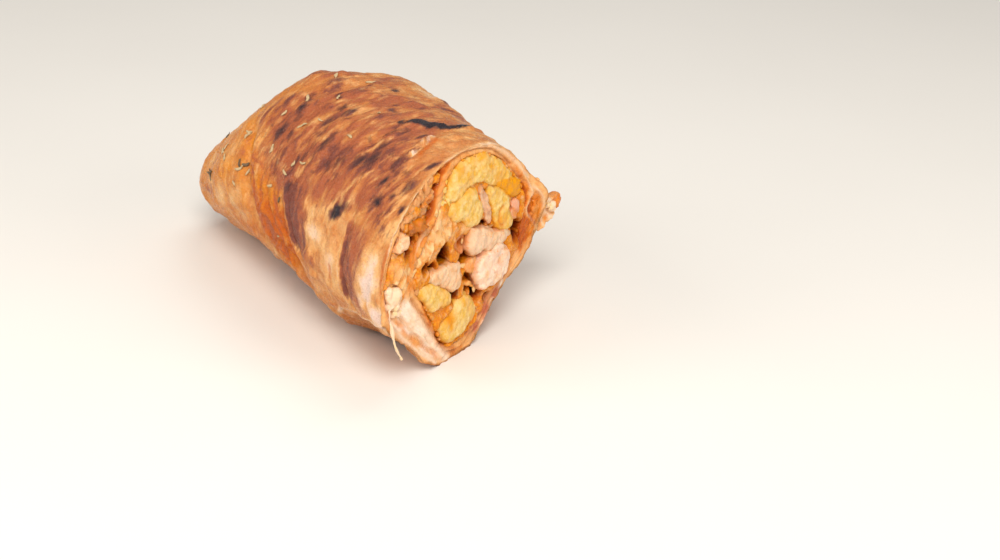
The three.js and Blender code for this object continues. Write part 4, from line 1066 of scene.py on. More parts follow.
def lavash_material(s):
    """Lavash: a thin wheat flatbread, baked dry and then pressed on a hot griddle.

    The eye sees a dull tan skin with cream hollows that the griddle missed, reddish scorch in streaks, a
    few black char spots and a faint sheen of oil. The cut face is pale and porous. Painted shade darkens
    the gaps between the cut's layers, the walls of its hollows, the skin beyond laps, in pleats and under
    blisters; painted highlights lie on pleat crests, lap edges, ridges and the rim.
    """
    marks = (
        "scorch", "mauve", "char", "cream", "highlight", "orange", "gold", "toast", "cut", "soak", "blush",
        "shade", "layer", "line", "creamy",
    )
    # Clouds are as wide as the bread's bubbles, streaks and patches as the folds that touched the
    # griddle; pores and grains of flour are drawn about twice as coarse as real, so that they show
    made, tree, sources = new_material("griddled_lavash", marks, {
        "clouds": ("Noise", 6.25, EVEN, {"Detail": 5, "Roughness": 0.6}),
        "pores": ("Noise", 1.111, EVEN, {"Detail": 4, "Roughness": 0.6}),
        "streaks": ("Noise", 1.818, DRAWN_OUT, {"Detail": 5, "Roughness": 0.63}),
        "fine": ("Noise", 0.4167, EVEN, {"Detail": 4, "Roughness": 0.6}),
        "patches": ("Noise", 4.545, DRAWN_OUT, {"Detail": 3, "Roughness": 0.6}),
        "flour": ("Voronoi", 0.9091, EVEN, {}),
    })
    sources["marbled"] = add(tree, "Mix", {0: 0.4, 2: sources["streaks"], 3: sources["patches"]})
    skin = painted(tree, sources, s.tan, [
        ("clouds", 0.42, 0.62, 0.7, s.toasted),
        ("clouds", 0.5, 0.32, 0.6, s.cream),
        ("toast", 0.2, 1.2, 1, s.toasted, "patches", 1.4),
        ("gold", 0.05, 0.9, 1, s.gold, "clouds", 0.5),
        ("streaks", 0.52, 0.68, 0.55, s.toasted),
        ("streaks", 0.46, 0.34, 0.45, s.cream),
        ("highlight", 0.25, 1.1, 1, s.cream, "clouds", 0.6),
        ("cream", 0.2, 0.8, 1, s.cream, "clouds", 0.5),
        ("cream", 0.5, 1, 1, linear("#E6C7B4"), "pores", 0.4),
        ("orange", 0.25, 1.1, 1, s.fold, "streaks", 0.9),
        ("scorch", 0.2, 0.78, 1, s.scorch, "marbled", 2.8),
        ("mauve", 0.3, 0.85, 1, s.mauve, "streaks", 2.2),
        ("flour", 0.2, 0.05, 0.4, s.toasted),
        ("pores", 0.58, 0.72, 0.55, s.scorch),
        ("char", 0.3, 1, 1, s.char, "pores", 0.7),
    ])
    crumb = painted(tree, sources, s.crumb, [
        ("layer", 0, 1, 0.35, s.cream),
        ("clouds", 0.45, 0.6, 0.5, s.gold),
        ("creamy", 0.05, 0.75, 1, s.pale, "pores", 0.3),
        ("creamy", 0.8, 1.2, 1, linear("#FCE2CA"), "pores", 0.3),
        ("soak", 0.15, 0.9, 1, s.soaked, "clouds", 0.5),
        ("soak", 0.85, 1.5, 1, s.fold, "clouds", 0.5),
        ("blush", 0.2, 0.9, 1, s.blush, "clouds", 0.5),
        ("pores", 0.55, 0.72, 0.4, s.soaked),
        # Dark sauce with painted shade in the gaps between the layers, then painted shade on the walls of
        # the hollows
        ("line", 0, 1.111, 1, s.crevice_sauce_and_shade),
        ("shade", 0, 1, 0.92, s.crevice_sauce_and_shade),
    ])
    base = painted(tree, sources, skin, [("cut", 0, 1, 1, crumb)])
    wet_cut = add(tree, "Math", {0: sources["cut"], 1: 0.14}, operation="MULTIPLY")
    wet = {0: sources["char"], 1: 0.3, 2: wet_cut}
    wet = add(tree, "Math", wet, operation="MULTIPLY_ADD", use_clamp=True)
    dull = {"Value": sources["pores"], "From Min": 0.3, "From Max": 0.7, "To Max": 0.6}
    dull = add(tree, "Math", {0: add(tree, "MapRange", dull), 1: wet}, operation="SUBTRACT")
    bumps = {"clouds": 0.7, "streaks": 0.35, "pores": 0.45, "fine": 0.15}
    finish(
        tree, sources, base, bumps, Roughness=dull, IOR=1.45, Specular_IOR_Level=0.22,
        Subsurface_Weight=0.1, Subsurface_Radius=(0.003, 0.0015, 0.0008), Subsurface_Scale=0.5,
    )
    return made


class WRAP_OT_lavash(bpy.types.Operator):
    """Builds the griddled flatbread with its folded end and cut face"""

    bl_idname = "wrap.lavash"
    bl_label = "Griddled lavash"

    def execute(self, context):
        settings = context.scene.wrap_lavash
        material = lavash_material(settings)
        points, faces, marks = lavash_mesh(settings.sides, settings.rings)
        lips = [torn_lip_mesh(*lip, seed) for seed, lip in enumerate(TORN_LIPS)]
        for lip, _ in lips:
            cut_marks, grooves = face_marks(lip, LIP_CLEAR)
            lip[:, 0] -= np.minimum(LIP_GROOVES * grooves, DEEPEST_LIP_GROOVE)
            cut_marks["cut"] = np.ones(len(lip))
            for name in marks:
                marks[name] = np.append(marks[name], cut_marks.get(name, np.zeros(len(lip))))
        made = new_object("griddled_lavash", *joined([(points, faces), *lips]), marks)
        dress(made, material, "griddled_lavash", "lavash_wrap")
        return {"FINISHED"}


def herb_material():
    """Dried thyme and mint: thin curled straw-coloured bits of leaf and stalk, a few of them dark."""
    # Veins of the leaf are drawn about three times as far apart as real, so that they show
    patterns = {"veins": ("Noise", 0.7143, EVEN, {"Detail": 2})}
    made, tree, sources = new_material("dried_herb", ["dark"], patterns)
    layers = [("veins", 0, 1, 1, linear("#9C8256")), ("dark", 0, 1, 1, linear("#4A3522"))]
    base = painted(tree, sources, linear("#D9BE93"), layers)
    finish(tree, sources, base, {"veins": 0.2}, Roughness=0.75, IOR=1.45)
    return made


class WRAP_OT_herbs(bpy.types.Operator):
    """Lays the dried herb flecks on the skin"""

    bl_idname = "wrap.herbs"
    bl_label = "Herb flecks"

    def execute(self, context):
        rng = np.random.default_rng(SEED)
        flecks, darkness = [], []
        for number, (x, angle, size) in enumerate(FLECKS):
            at_x, at_angle = np.array([x, x + 0.8, x]), np.array([angle, angle, angle + 1.0])
            relief = skin_relief(at_x, at_angle, skin_point(at_x, at_angle))
            place, ahead, beside = skin_point(at_x, at_angle, relief)
            along = (ahead - place) / np.linalg.norm(ahead - place)
            out = np.cross(beside - place, along)
            out *= np.sign(out @ (place - (place[0], 0, MID_HEIGHT))) / np.linalg.norm(out)
            turn = number * FLECK_TURN
            first = along * math.cos(turn) + np.cross(out, along) * math.sin(turn)
            body, faces = lump((size / 2, rng.uniform(*FLECK_WIDTHS), FLECK_THICKNESS), 700 + number, 3)
            body[:, 1] += FLECK_BEND * body[:, 0] ** 2 * rng.choice([-1, 1])
            body[:, 2] += FLECK_LIFT + 0.1 * np.sin(2.5 * body[:, 0])
            flecks.append((place + body @ (first, np.cross(out, first), out), faces))
            darkness += [0.85 if number in DARK_FLECKS else 0.0] * len(body)
        made = new_object("herb_flecks", *joined(flecks), {"dark": darkness})
        dress(made, herb_material(), "griddled_lavash")
        return {"FINISHED"}


# Filling

POTATOES = [
    "potato_slice_top", "potato_chunk_centre", "potato_chunk_right", "potato_chunk_left",
    "potato_chunk_bottom",
]
GOLDEN_FACET = [(15.5, 16.4), (20, 16.2), (25, 15.2), (28.6, 12), (31, 8), (28, 6), (24, 8.6), (20, 11.6)]
POTATO_GRAIN = (0.4, 1, 1)
# More golden, sauced and ring-marked places of the potato
GOLDEN_PLACES = [(16, 2, 3, 0.8), (-7, -15.6, 3.4, 1.1), (13, 22.4, 1.6, 0.8), (-1, 25.6, 1.8, 0.7)]
SAUCED_PLACES = [(-9, -14.5, 2, 0.8), (-5, -18, 1.6, 0.6)]
RING = {"node": "potato_chunk_right", "middle": (19.3, 5.2), "reach": (1.9, 3.1), "depth": 0.55}
# Each node's meat, streaks, how much sauce clings to it, height and size of its lumps, swell
CHICKEN = {
    "chicken_piece_upper": ("#E6C2A0", "#DFA66E", 0, 0.6, 3.4, 0.55),
    "chicken_piece_right": ("#F0D1B8", "#EBB680", 0, 0.6, 3.4, 0.55),
    "chicken_piece_middle": ("#E5C09A", "#DCA066", 0, 0.6, 3.4, 0.55),
    "chicken_piece_pocket_low": ("#EBC29C", "#E6AA70", 0, 0.7, 3, 0.3),
    "chicken_strip_inner": ("#E2B48E", "#A86C54", 0, 0.6, 2.6, 0.3),
    "chicken_strand": ("#E5A165", "#F3CB9C", 0.2, 0.4, 2.6, 0.3),
    "chicken_piece_far": ("#D99C7C", "#F0C8A8", 0.1, 1, 1.8, 0.4),
    "chicken_rolled_end": ("#CE8A5C", "#A8664A", 0.1, 0.5, 2.6, 0.4),
    "chicken_flap": ("#E7A055", "#F2BE7E", 0.25, 0.5, 2.6, 0.3),
    "chicken_piece_pocket_top": ("#D29A68", "#B87038", 0.05, 1.2, 2.3, 0.8),
    "chicken_piece_pocket_middle": ("#AE6224", "#C88648", 0.1, 1.2, 2.3, 0.8),
}
# Relief of the meat in the pocket, which the press crumpled, and of all the meat
CRUMPLED = {"lumps": 0.7, "lump_size": 1.7, "fibres": 0.4, "fibre_size": 2.4, "folds": 0.5, "swell": -0.2}
MEAT_FIBRES = {"lumps": 0.22, "lump_size": 1.7, "fibres": 0.26, "fibre_size": 1.1, "folds": 0.16}
# Hollows in a piece, as across, up, size, depth
DENTS = {
    "chicken_rolled_end": (0.9, 2.4, 1.6, 2.4), "chicken_piece_pocket_top": (-14.2, 21, 1.5, 1.2),
    "chicken_piece_pocket_middle": (-19.2, 17.4, 1.3, 1.3), "chicken_piece_far": (25.6, 3.4, 1.3, 1),
    "chicken_piece_right": (16.8, -7, 1.3, 0.8), "chicken_strip_inner": (8.2, 17.6, 1.2, 0.8),
}
# Places at the surface of the filling, as across, up, size, strength: dark openings, pushed back and given
# painted shade, then pale bits
DARK_OPENINGS = [
    (-8, 2.8, 2, 1.5), (-7.4, 0.4, 1.8, 1.5), (-7.4, 5, 1.2, 0.8), (9.6, 5.2, 1.5, 1), (14.4, 2, 1.2, 0.7),
    (1.6, -2.5, 1.8, 1.5), (3.8, -3, 1.7, 1.4), (2.6, -8, 1.2, 1), (4.4, -8.8, 1.1, 1),
    (-2.4, -11.8, 1.5, 0.9), (5.6, -10.2, 1.5, 0.9), (3, -12.4, 1.4, 0.9), (7.4, -15.4, 2, 0.9),
    (-15.6, 1.4, 1.4, 0.9), (-12.4, 0.4, 1.3, 0.8), (-3, -12.6, 1.4, 0.6), (26.2, -1.4, 2.2, 0.8),
    (26.6, -4.4, 2, 0.7), (12, -18, 1.6, 0.5), (-11.4, 23.2, 1.6, 0.7), (-13.2, 20.4, 1.5, 0.7),
    (-15.6, 17.6, 1.6, 0.75), (-18, 14.2, 1.6, 0.75), (-21.4, 11.6, 1.6, 0.75), (-23.4, 8.6, 1.5, 0.6),
    (10.4, 10.5, 1.2, 0.7), (2.6, 20.4, 1, 0.8), (22.6, 1.2, 1.4, 0.8), (20.4, 9, 1.2, 0.7),
]
PALE_BITS = [
    (0.4, 7.8, 2, 0.9), (-3, 7.4, 1.6, 0.7), (-14, 9.6, 2.2, 0.8), (-8, 11, 2.4, 1.2),
    (-11.6, 10, 1.8, 0.9), (-7.4, 9.6, 2, 1), (-9.6, 13, 1.6, 0.8), (-12, 8, 2.2, 0.9),
    (-10.4, 5.6, 1.4, 0.7), (-16.4, 6, 2, 0.8), (3.4, 18.4, 1.5, 0.8), (-27, 4.5, 2.2, 0.7),
    (-25.4, 0, 2, 0.7), (-28.6, 7.4, 1.8, 0.5), (9.6, -6, 1.3, 0.7), (0, 1, 1.6, 0.6),
    (13, -17.4, 1.4, 0.4), (-13.6, 4, 1.6, 0.7), (-6, 13, 1.6, 0.7),
]
OPENING_DEPTH = 7.5
FILLING_RAISE = 2.2  # how far the filling comes forward at the cut
FINE_DEPTH = 6.0  # how far behind the cut its faces are split
# Strand that hangs from the melted cheese: its top, thickness, flare towards the top and faces
STRAND_TOP = MID_HEIGHT - 8.0
STRAND_RADIUS = 0.34
STRAND_FLARE = 1.2
STRAND_BLEND = 7.0  # length over which it flares
STRAND_FACE = 0.36 * MM
STRAND_STEP = 0.5
FIBROUS = [
    (-2, 15), (-9, 15.8), (-14.5, 11.4), (-19, 6), (-20.4, 2.6), (-15, 3.2), (-11, 4.2), (-9, 6), (-6, 7.4),
    (-2, 9),
]
FIBROUS_POCKET = [(-32, 4), (-26, 6), (-23, 2), (-25.4, -5.4), (-31, -4.4)]
FIBROUS_TILT = math.radians(66)
# Shreds of meat and cheese, as across, up, tilt in degrees, length, width, tone
SHREDS = [
    (-11.4, 11.4, 62, 6, 1.1, 0.9), (-16.4, 5.6, 66, 5.6, 1.2, 0.8), (-17.8, -1.2, 82, 4.6, 1.1, 0.6),
    (-12.4, -4.6, 30, 6, 1.4, 0.4), (-9, -4.4, 24, 4.6, 1.1, 0.9), (8.2, -13.2, 30, 4.4, 1.2, 0.9),
    (13, -15.6, 20, 3.4, 0.9, 0.5), (1.6, -5, -6, 4.4, 1.4, 0.9), (5, -5.6, -14, 6, 1.7, 0.9),
    (2.6, -6.2, -20, 4, 1.2, 0.8), (24.4, -10.4, 64, 4, 1, 0.3), (25.6, 3, 96, 4, 1.1, 0.4),
    (15.4, 3.2, 10, 3.4, 1, 0.8), (20.4, 4.6, 40, 3.2, 1.2, 0.7), (-27.6, -3.4, 100, 4, 1.2, 0.8),
    (-3.2, 4.8, 70, 4, 1, 0.4), (6.4, -7.6, 60, 3.4, 1.1, 0.9), (-7, 8.2, 56, 3.4, 1.2, 1),
]
# Flakes of crust and meat at the edge of the pocket, as across, up, half length, depth behind the cut
FLAKES = [
    (-13.4, 26.4, 1.6, 0.9), (-15.4, 24.8, 1.9, 0.6), (-17.6, 23.4, 1.8, 0.5), (-19.6, 22, 1.9, 0.6),
    (-21.6, 20.6, 1.7, 0.5), (-23.4, 18.8, 1.9, 0.6), (-25.2, 17.4, 1.5, 0.6), (-18.4, 19.8, 1.7, 0.9),
    (-20.4, 18.2, 1.6, 0.9), (-22.6, 16.6, 1.7, 0.9), (-17.8, 17.6, 1.3, 1.2), (-19.6, 15.2, 1.6, 0.8),
    (-15.8, 21.6, 1.5, 0.9), (-23.4, 13.6, 1.4, 1.2), (-26.6, 15.4, 1.3, 0.9), (-28.4, 9.6, 1.4, 0.9),
    (-29, 6.6, 1.6, 0.9), (-26.6, 7.4, 1.6, 1.1), (-25, 4.8, 1.5, 1), (-28.6, 3.4, 1.7, 0.8),
    (-26.4, 1.2, 1.6, 0.9), (-29.6, 0.6, 1.3, 0.9), (-24.6, -1.6, 1.5, 1), (-27.2, -3, 1.4, 0.9),
    (-24.4, 8.4, 1.3, 1.3),
]
# Potato mashed into the gaps of the core, then crumbs stuck to the inner sheet: across, up, half length
MASH = [
    (-6.4, 17.8, 1.7), (-4.6, 17.2, 1.8), (-2.6, 17.4, 1.8), (-0.8, 17.9, 1.7), (1, 18.6, 1.5),
    (2.8, 19.4, 1.2), (6.6, 18.4, 1), (-7.4, 21.6, 1.2), (-8, 19.8, 1.3), (-8.4, 17.6, 1.3),
    (-9, 15.4, 1.3), (-7, 14, 1.3), (-10.2, 13.4, 1.2), (-6.4, 12, 1.2), (-8.4, 11.4, 1.3),
    (-11.4, 11.6, 1.1), (-12.6, 9.8, 1.2), (-4.6, 10.6, 0.9), (-6.6, 23.8, 1.1), (4.8, 19.4, 0.9),
    (12.6, 18.6, 0.8), (-2.8, 9.4, 0.9),
]
STUCK = [
    (-8.6, 20.6, 1), (-9.6, 18.4, 1.1), (-10.8, 16.2, 1.2), (-12.6, 14.2, 1.3), (-14.4, 12, 1.2),
    (-16.4, 9.6, 1.4), (-18.4, 7.2, 1.2), (-19.6, 4.6, 1.4), (-20.4, 1.8, 1.1), (-20, -1.4, 1.3),
    (-18.6, -4, 1.1), (-17.2, -6.6, 1), (-22.4, 3.4, 1), (-23.2, 0, 1.1), (-31.6, 2.6, 1.1),
    (-29.8, 2.4, 1.2), (-28, 1.8, 1.1), (-26.4, 0.6, 1),
]
# Drops of melted cheese on the cut, as across, up, half length, depth behind the cut
DRIPS = [
    (43.4, -0.4, 1.7, -0.6), (44.6, -1.6, 1, -0.6), (41.6, 0.6, 1, -0.6), (-31, 0.6, 1.3, 0.2),
    (-29.4, -0.6, 1.4, 0), (-30.6, -3.6, 1.5, 0), (-28.2, -4.6, 1.6, 0.1), (-29, -6.6, 1.4, 0.2),
    (-27.2, -7.4, 1.3, 0.4), (-26.4, -3, 1.1, 0.3),
]
# Crumbs: places, kinds and how often each comes, first seed, stretch, widths, roughness, fine roughness,
# depths behind the cut, tilts
CRUMBS = [
    (FLAKES, {"flaky": 1}, 900, 1, (0.5, 0.8), 0.42, 0.12, None, (20, 100)),
    (MASH, {"mash": 1}, 700, 1, (0.6, 0.9), 0.4, 0, (0.5, 0.9), (0, 180)),
    (STUCK, {"pale": 0.5, "orange": 0.3, "flaky": 0.2}, 800, 1.3, (0.6, 0.9), 0.4, 0, (0.3, 0.8), (30, 90)),
]
# Bits scattered over the filling, clear of the bread and of the dark openings
BITS = {
    "count": 90, "sizes": (0.35, 0.95), "across": (-33, 30), "up": (-27, 28), "clear": 0.8,
    "darkest": 0.15,
}
BIT_KINDS = {"pale": 0.4, "orange": 0.45, "cheese": 0.15}


def potato_material(s):
    """Fried potato: chips softened in the roll, cut and cooked in oil.

    The eye sees a mealy pale yellow with oily golden patches and a soft wet sheen.
    """
    # The meal is drawn at 0.8 mm, a few times as coarse as starch grains, so that it shows
    made, tree, sources = new_material("fried_potato", ["golden", "stain"], {
        "mealy": ("Noise", 0.7692, EVEN, {"Detail": 4, "Roughness": 0.65}),
        "patches": ("Noise", 4.545, EVEN, {"Detail": 3}),
        "cells": ("Voronoi", 0.625, EVEN, {}),
        "clouds": ("Noise", 2.222, EVEN, {"Detail": 5, "Roughness": 0.7}),
    })
    oily = {"Value": sources["patches"], "From Min": 0.5, "From Max": 0.8, "To Max": 0.7}
    oily = {0: add(tree, "MapRange", oily), 1: sources["golden"]}
    sources["oily"] = add(tree, "Math", oily, operation="ADD", use_clamp=True)
    base = painted(tree, sources, s.potato, [
        ("clouds", 0.4, 0.62, 0.9, linear("#EBCB8C")),
        ("mealy", 0.52, 0.66, 0.55, linear("#F0D592")),
        ("oily", 0, 1, 1, s.potato_gold),
        ("stain", 0, 1, 1, s.sauce),
    ])
    finish(
        tree, sources, base, {"mealy": 0.18, "cells": 0.06},
        Roughness=0.34, IOR=1.45, Specular_IOR_Level=0.18, Subsurface_Weight=0.2,
        Subsurface_Radius=(0.004, 0.0025, 0.001), Subsurface_Scale=0.5,
    )
    return made


def chicken_material(name, meat, streak, s):
    """Chicken: meat from an upright grill, sliced along its fibres and moist.

    The eye sees cream-white fibres with pinkish and seared streaks and a wet sheen.
    """
    # Fibres are bundles of about 1 mm, as torn meat shows them
    made, tree, sources = new_material(name, ["stain"], {
        "fibre": ("Noise", 1.111, (0.35, 1.6, 1.2), {"Detail": 4, "Roughness": 0.6}, 0.4, 0.5, 0.9),
        "patches": ("Noise", 3.333, EVEN, {"Detail": 3}),
        "specks": ("Noise", 1.111, EVEN, {"Detail": 3, "Roughness": 0.65}),
    })
    base = painted(tree, sources, linear(meat), [
        ("fibre", 0.48, 0.72, 0.35, linear(streak)),
        ("patches", 0.5, 0.72, 0.7, linear(streak)),
        ("specks", 0.57, 0.7, 0.75, linear("#DE8A3C")),
        ("stain", 0, 1, 1, s.sauce),
    ])
    finish(
        tree, sources, base, {"fibre": 0.28, "patches": 0.4},
        Roughness=0.3, IOR=1.42, Specular_IOR_Level=0.25, Subsurface_Weight=0.3,
        Subsurface_Radius=(0.004, 0.002, 0.0012), Subsurface_Scale=0.6,
    )
    return made


def sauce_material(s):
    """Sauced filling: minced bits of meat, potato and cheese bound with orange sauce and oil.

    The eye sees glossy orange lumps, cream streaks of cheese and dark red gaps, whose darkness is painted
    shade.
    """
    # Lumps are the bits of about 2 mm, and the mince between them about 0.7 mm
    made, tree, sources = new_material("sauced_filling", ["dark", "pale"], {
        "lumps": ("Noise", 2.222, EVEN, {"Detail": 5, "Roughness": 0.6}),
        "mince": ("Noise", 0.6667, EVEN, {"Detail": 3}),
    })
    base = painted(tree, sources, s.sauce, [
        ("mince", 0.46, 0.62, 0.6, linear("#EBA024")),
        ("lumps", 0.53, 0.68, 0.75, linear("#E6B47C")),
        ("pale", 0, 1, 1, linear("#EDC48E")),
        # Painted shade in the openings and the deeper filling: dark red sauce in shade, then near-black
        ("dark", 0.1, 0.7, 1, linear("#A03E06")),
        ("dark", 0.6, 0.9, 1, s.hole_shadow),
    ])
    dull = add(tree, "Math", {0: sources["dark"], 1: 0.5, 2: 0.26}, operation="MULTIPLY_ADD")
    finish(
        tree, sources, base, {"lumps": 0.7, "mince": 0.35},
        Roughness=dull, IOR=1.45, Specular_IOR_Level=0.22, Subsurface_Weight=0.2,
        Subsurface_Radius=(0.004, 0.0015, 0.0006), Subsurface_Scale=0.6,
    )
    return made


def cheese_material(s):
    """Melted cheese: a mild white cheese that ran and set. Smooth, cream-white and shiny."""
    # Runs of the set cheese are about 3 mm apart
    patterns = {"runs": ("Noise", 2.857, EVEN, {"Detail": 2})}
    made, tree, sources = new_material("melted_cheese", [], patterns)
    base = painted(tree, sources, s.cheese, [("runs", 0.5, 0.7, 1, linear("#EFC892"))])
    finish(
        tree, sources, base, {"runs": 0.4}, Roughness=0.28, IOR=1.45,
        Subsurface_Weight=0.35, Subsurface_Radius=(0.004, 0.003, 0.002), Subsurface_Scale=0.7,
    )
    return made


def behind_cut(points):
    """How far each point lies behind the cut, and its place across and up."""
    x, y, z = points.T
    return cut_at(y, z) - x, y, z - MID_HEIGHT


def rub(made, way, seed, lumps, lump_size, fibres=0.0, fibre_size=1.0, folds=0.0, swell=0.0):
    """Lumps, folds and fibres on a piece that swells a little, fibres running along the way."""
    points, outward = points_of(made)
    way = np.array(way, float)
    way /= np.linalg.norm(way)
    squeezed = points - np.outer(points @ way * 0.8, way)
    height = swell + lumps * rough(points, lump_size, seed, 2)
    height += fibres * rough(squeezed, fibre_size, seed + 5, 3)
    height -= folds * np.clip(1 - 3.2 * np.abs(rough(squeezed, 4.0, seed + 9, 2)), 0, 1)
    shown = smooth((8 - behind_cut(points)[0]) / 4)
    move_points(made, points + outward * (shown * height)[:, None])
    return points


def flatten(made, slab, keep, seed):
    """Presses what stands out of the cut back towards one plane, slab mm behind the foremost point."""
    points, _ = points_of(made)
    depth, _, _ = behind_cut(points)
    plane = depth.min() + slab + 0.3 * rough(points, 5.0, seed, 2)
    points[:, 0] -= (1 - keep) * np.maximum(plane - depth, 0)
    move_points(made, points)


def turned_away(made):
    """One where a piece turns away from the cut, nothing on its cut face."""
    ahead = np.array([1.0, CUT_TURN, CUT_LEAN])
    return smooth((0.9 - points_of(made)[1] @ ahead / np.linalg.norm(ahead)) / 0.6)


class WRAP_OT_potatoes(bpy.types.Operator):
    """Builds the slice and chunks of fried potato"""

    bl_idname = "wrap.potatoes"
    bl_label = "Fried potatoes"

    def execute(self, context):
        settings = context.scene.wrap_filling
        material = potato_material(settings)
        for number, node in enumerate(POTATOES):
            made = copy_of_node(f"fried_{node}", node, settings.piece_face, 3)
            rub(made, POTATO_GRAIN, 201 + 10 * number, lumps=0.5, lump_size=4.6, swell=0.8)
            flatten(made, 0.8, 0.3, 221 + number)
            fine = {"lumps": 0.13, "lump_size": 1.9, "fibres": 0.22, "fibre_size": 0.9, "swell": 0.1}
            points = rub(made, POTATO_GRAIN, 211 + 10 * number, **fine)
            depth, across, up = behind_cut(points)
            facet = 1.6 * region(GOLDEN_FACET, across, up, 0.8)
            golden = most(face_spots(GOLDEN_PLACES, across, up), facet) + 0.7 * smooth((depth - 0.3) / 1.6)
            golden += 0.45 * smooth(1.2 * rough(points, 5.0, 215, 2) - 0.2)
            golden = most(golden, 0.6 * turned_away(made))
            stain = 0.7 * smooth((depth - 2.0) / 2.2) + face_spots(SAUCED_PLACES, across, up)
            if node == RING["node"]:
                (middle, high), (half_width, half_height) = RING["middle"], RING["reach"]
                ring = np.hypot((across - middle) / half_width, (up - high) / half_height)
                groove = bell((ring - 1) / 0.22) * (across < middle + 0.3)
                points, outward = points_of(made)
                move_points(made, points - outward * (RING["depth"] * groove * (depth < 2))[:, None])
                stain = most(stain, 0.7 * groove)
            mark_points(made, {"golden": golden, "stain": np.clip(stain, 0, 1)})
            dress(made, material, "fried_potato", node)
        return {"FINISHED"}


def frame_slot(node):
    """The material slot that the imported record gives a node."""
    return next(part["material_slot"] for part in frame["record"]["subparts"] if part["node"] == node)


class WRAP_OT_chicken(bpy.types.Operator):
    """Builds the pieces of chicken"""

    bl_idname = "wrap.chicken"
    bl_label = "Chicken"

    def execute(self, context):
        settings = context.scene.wrap_filling
        rng = np.random.default_rng(SEED + 1)
        for number, (node, (meat, streak, sauced, lumps, size, swell)) in enumerate(CHICKEN.items()):
            made = copy_of_node("cut_" + node, node, settings.piece_face, 4)
            way = rng.normal(size=3) * (0.3, 1, 1)
            rub(made, way, 301 + 10 * number, lumps, 1.2 * size, folds=0.25, swell=swell + 0.2)
            if "pocket" in node:
                rub(made, way, 351 + number, **CRUMPLED)
            else:
                flatten(made, 0.9, 0.3, 321 + number)
            points = rub(made, way, 311 + 10 * number, **MEAT_FIBRES)
            depth, across, up = behind_cut(points)
            stain = sauced + 0.8 * smooth((depth - 0.6) / 2.0) + 0.3 * rough(points, 2.5, 9, 2)
            stain += 0.45 * turned_away(made)
            if node in DENTS:
                *dent, deep = DENTS[node]
                hollow = face_spots([(*dent, 1.0)], across, up) * (depth < 4)
                points, _ = points_of(made)
                points[:, 0] -= deep * hollow
                move_points(made, points)
                stain += 0.7 * hollow * min(deep, 1)
            mark_points(made, {"stain": np.clip(stain, 0, 1)})
            dress(made, chicken_material("meat_of_" + node, meat, streak, settings), frame_slot(node), node)
        return {"FINISHED"}


class WRAP_OT_cheese(bpy.types.Operator):
    """Builds the melted cheese with its hanging strand"""

    bl_idname = "wrap.cheese"
    bl_label = "Melted cheese"

    def execute(self, context):
        made = copy_of_node("melted_cheese_pulled", "melted_cheese", STRAND_FACE, 2)
        points, _ = points_of(made)
        height = points[:, 2]
        for low in np.arange(height.min(), STRAND_TOP, STRAND_STEP):
            ring = (height >= low) & (height < low + STRAND_STEP)
            if ring.sum() > 3:
                away = points[ring, :2] - points[ring, :2].mean(0)
                flare = smooth(1 + (low - STRAND_TOP) / STRAND_BLEND) ** 2
                wanted = STRAND_RADIUS + STRAND_FLARE * flare
                points[ring, :2] -= away * (1 - min(1.0, wanted / np.hypot(*away.T).mean()))
        move_points(made, points)
        blob = smooth((height - STRAND_TOP + 2) / 3)
        points, outward = points_of(made)
        points = points + outward * (blob * (0.2 + 0.7 * rough(points, 3.4, 403, 2)))[:, None]
        points[:, 0] -= 0.5 * blob
        points[:, 2] -= 0.9 * smooth((points[:, 2] - MID_HEIGHT + 4) / 7)
        move_points(made, points)
        rub(made, (1, 0, 0), 401, lumps=0.12, lump_size=1.6, fibres=0.05, fibre_size=1.2)
        dress(made, cheese_material(context.scene.wrap_filling), "melted_cheese", "melted_cheese")
        return {"FINISHED"}


def fine_front(made):
    """Splits the faces near the cut, so that the sauce there can carry small relief."""
    mesh = bmesh.new()
    mesh.from_mesh(made.data)
    middles = [(edge.verts[0].co + edge.verts[1].co) / 2 / MM for edge in mesh.edges]
    depths = behind_cut(np.array(middles) + BASE_MIDDLE)[0]
    chosen = [edge for edge, depth in zip(mesh.edges, depths) if depth < FINE_DEPTH]
    bmesh.ops.subdivide_edges(mesh, edges=chosen, cuts=1, use_grid_fill=True)
    mesh.to_mesh(made.data)
    mesh.free()
    made.data.polygons.foreach_set("use_smooth", [True] * len(made.data.polygons))


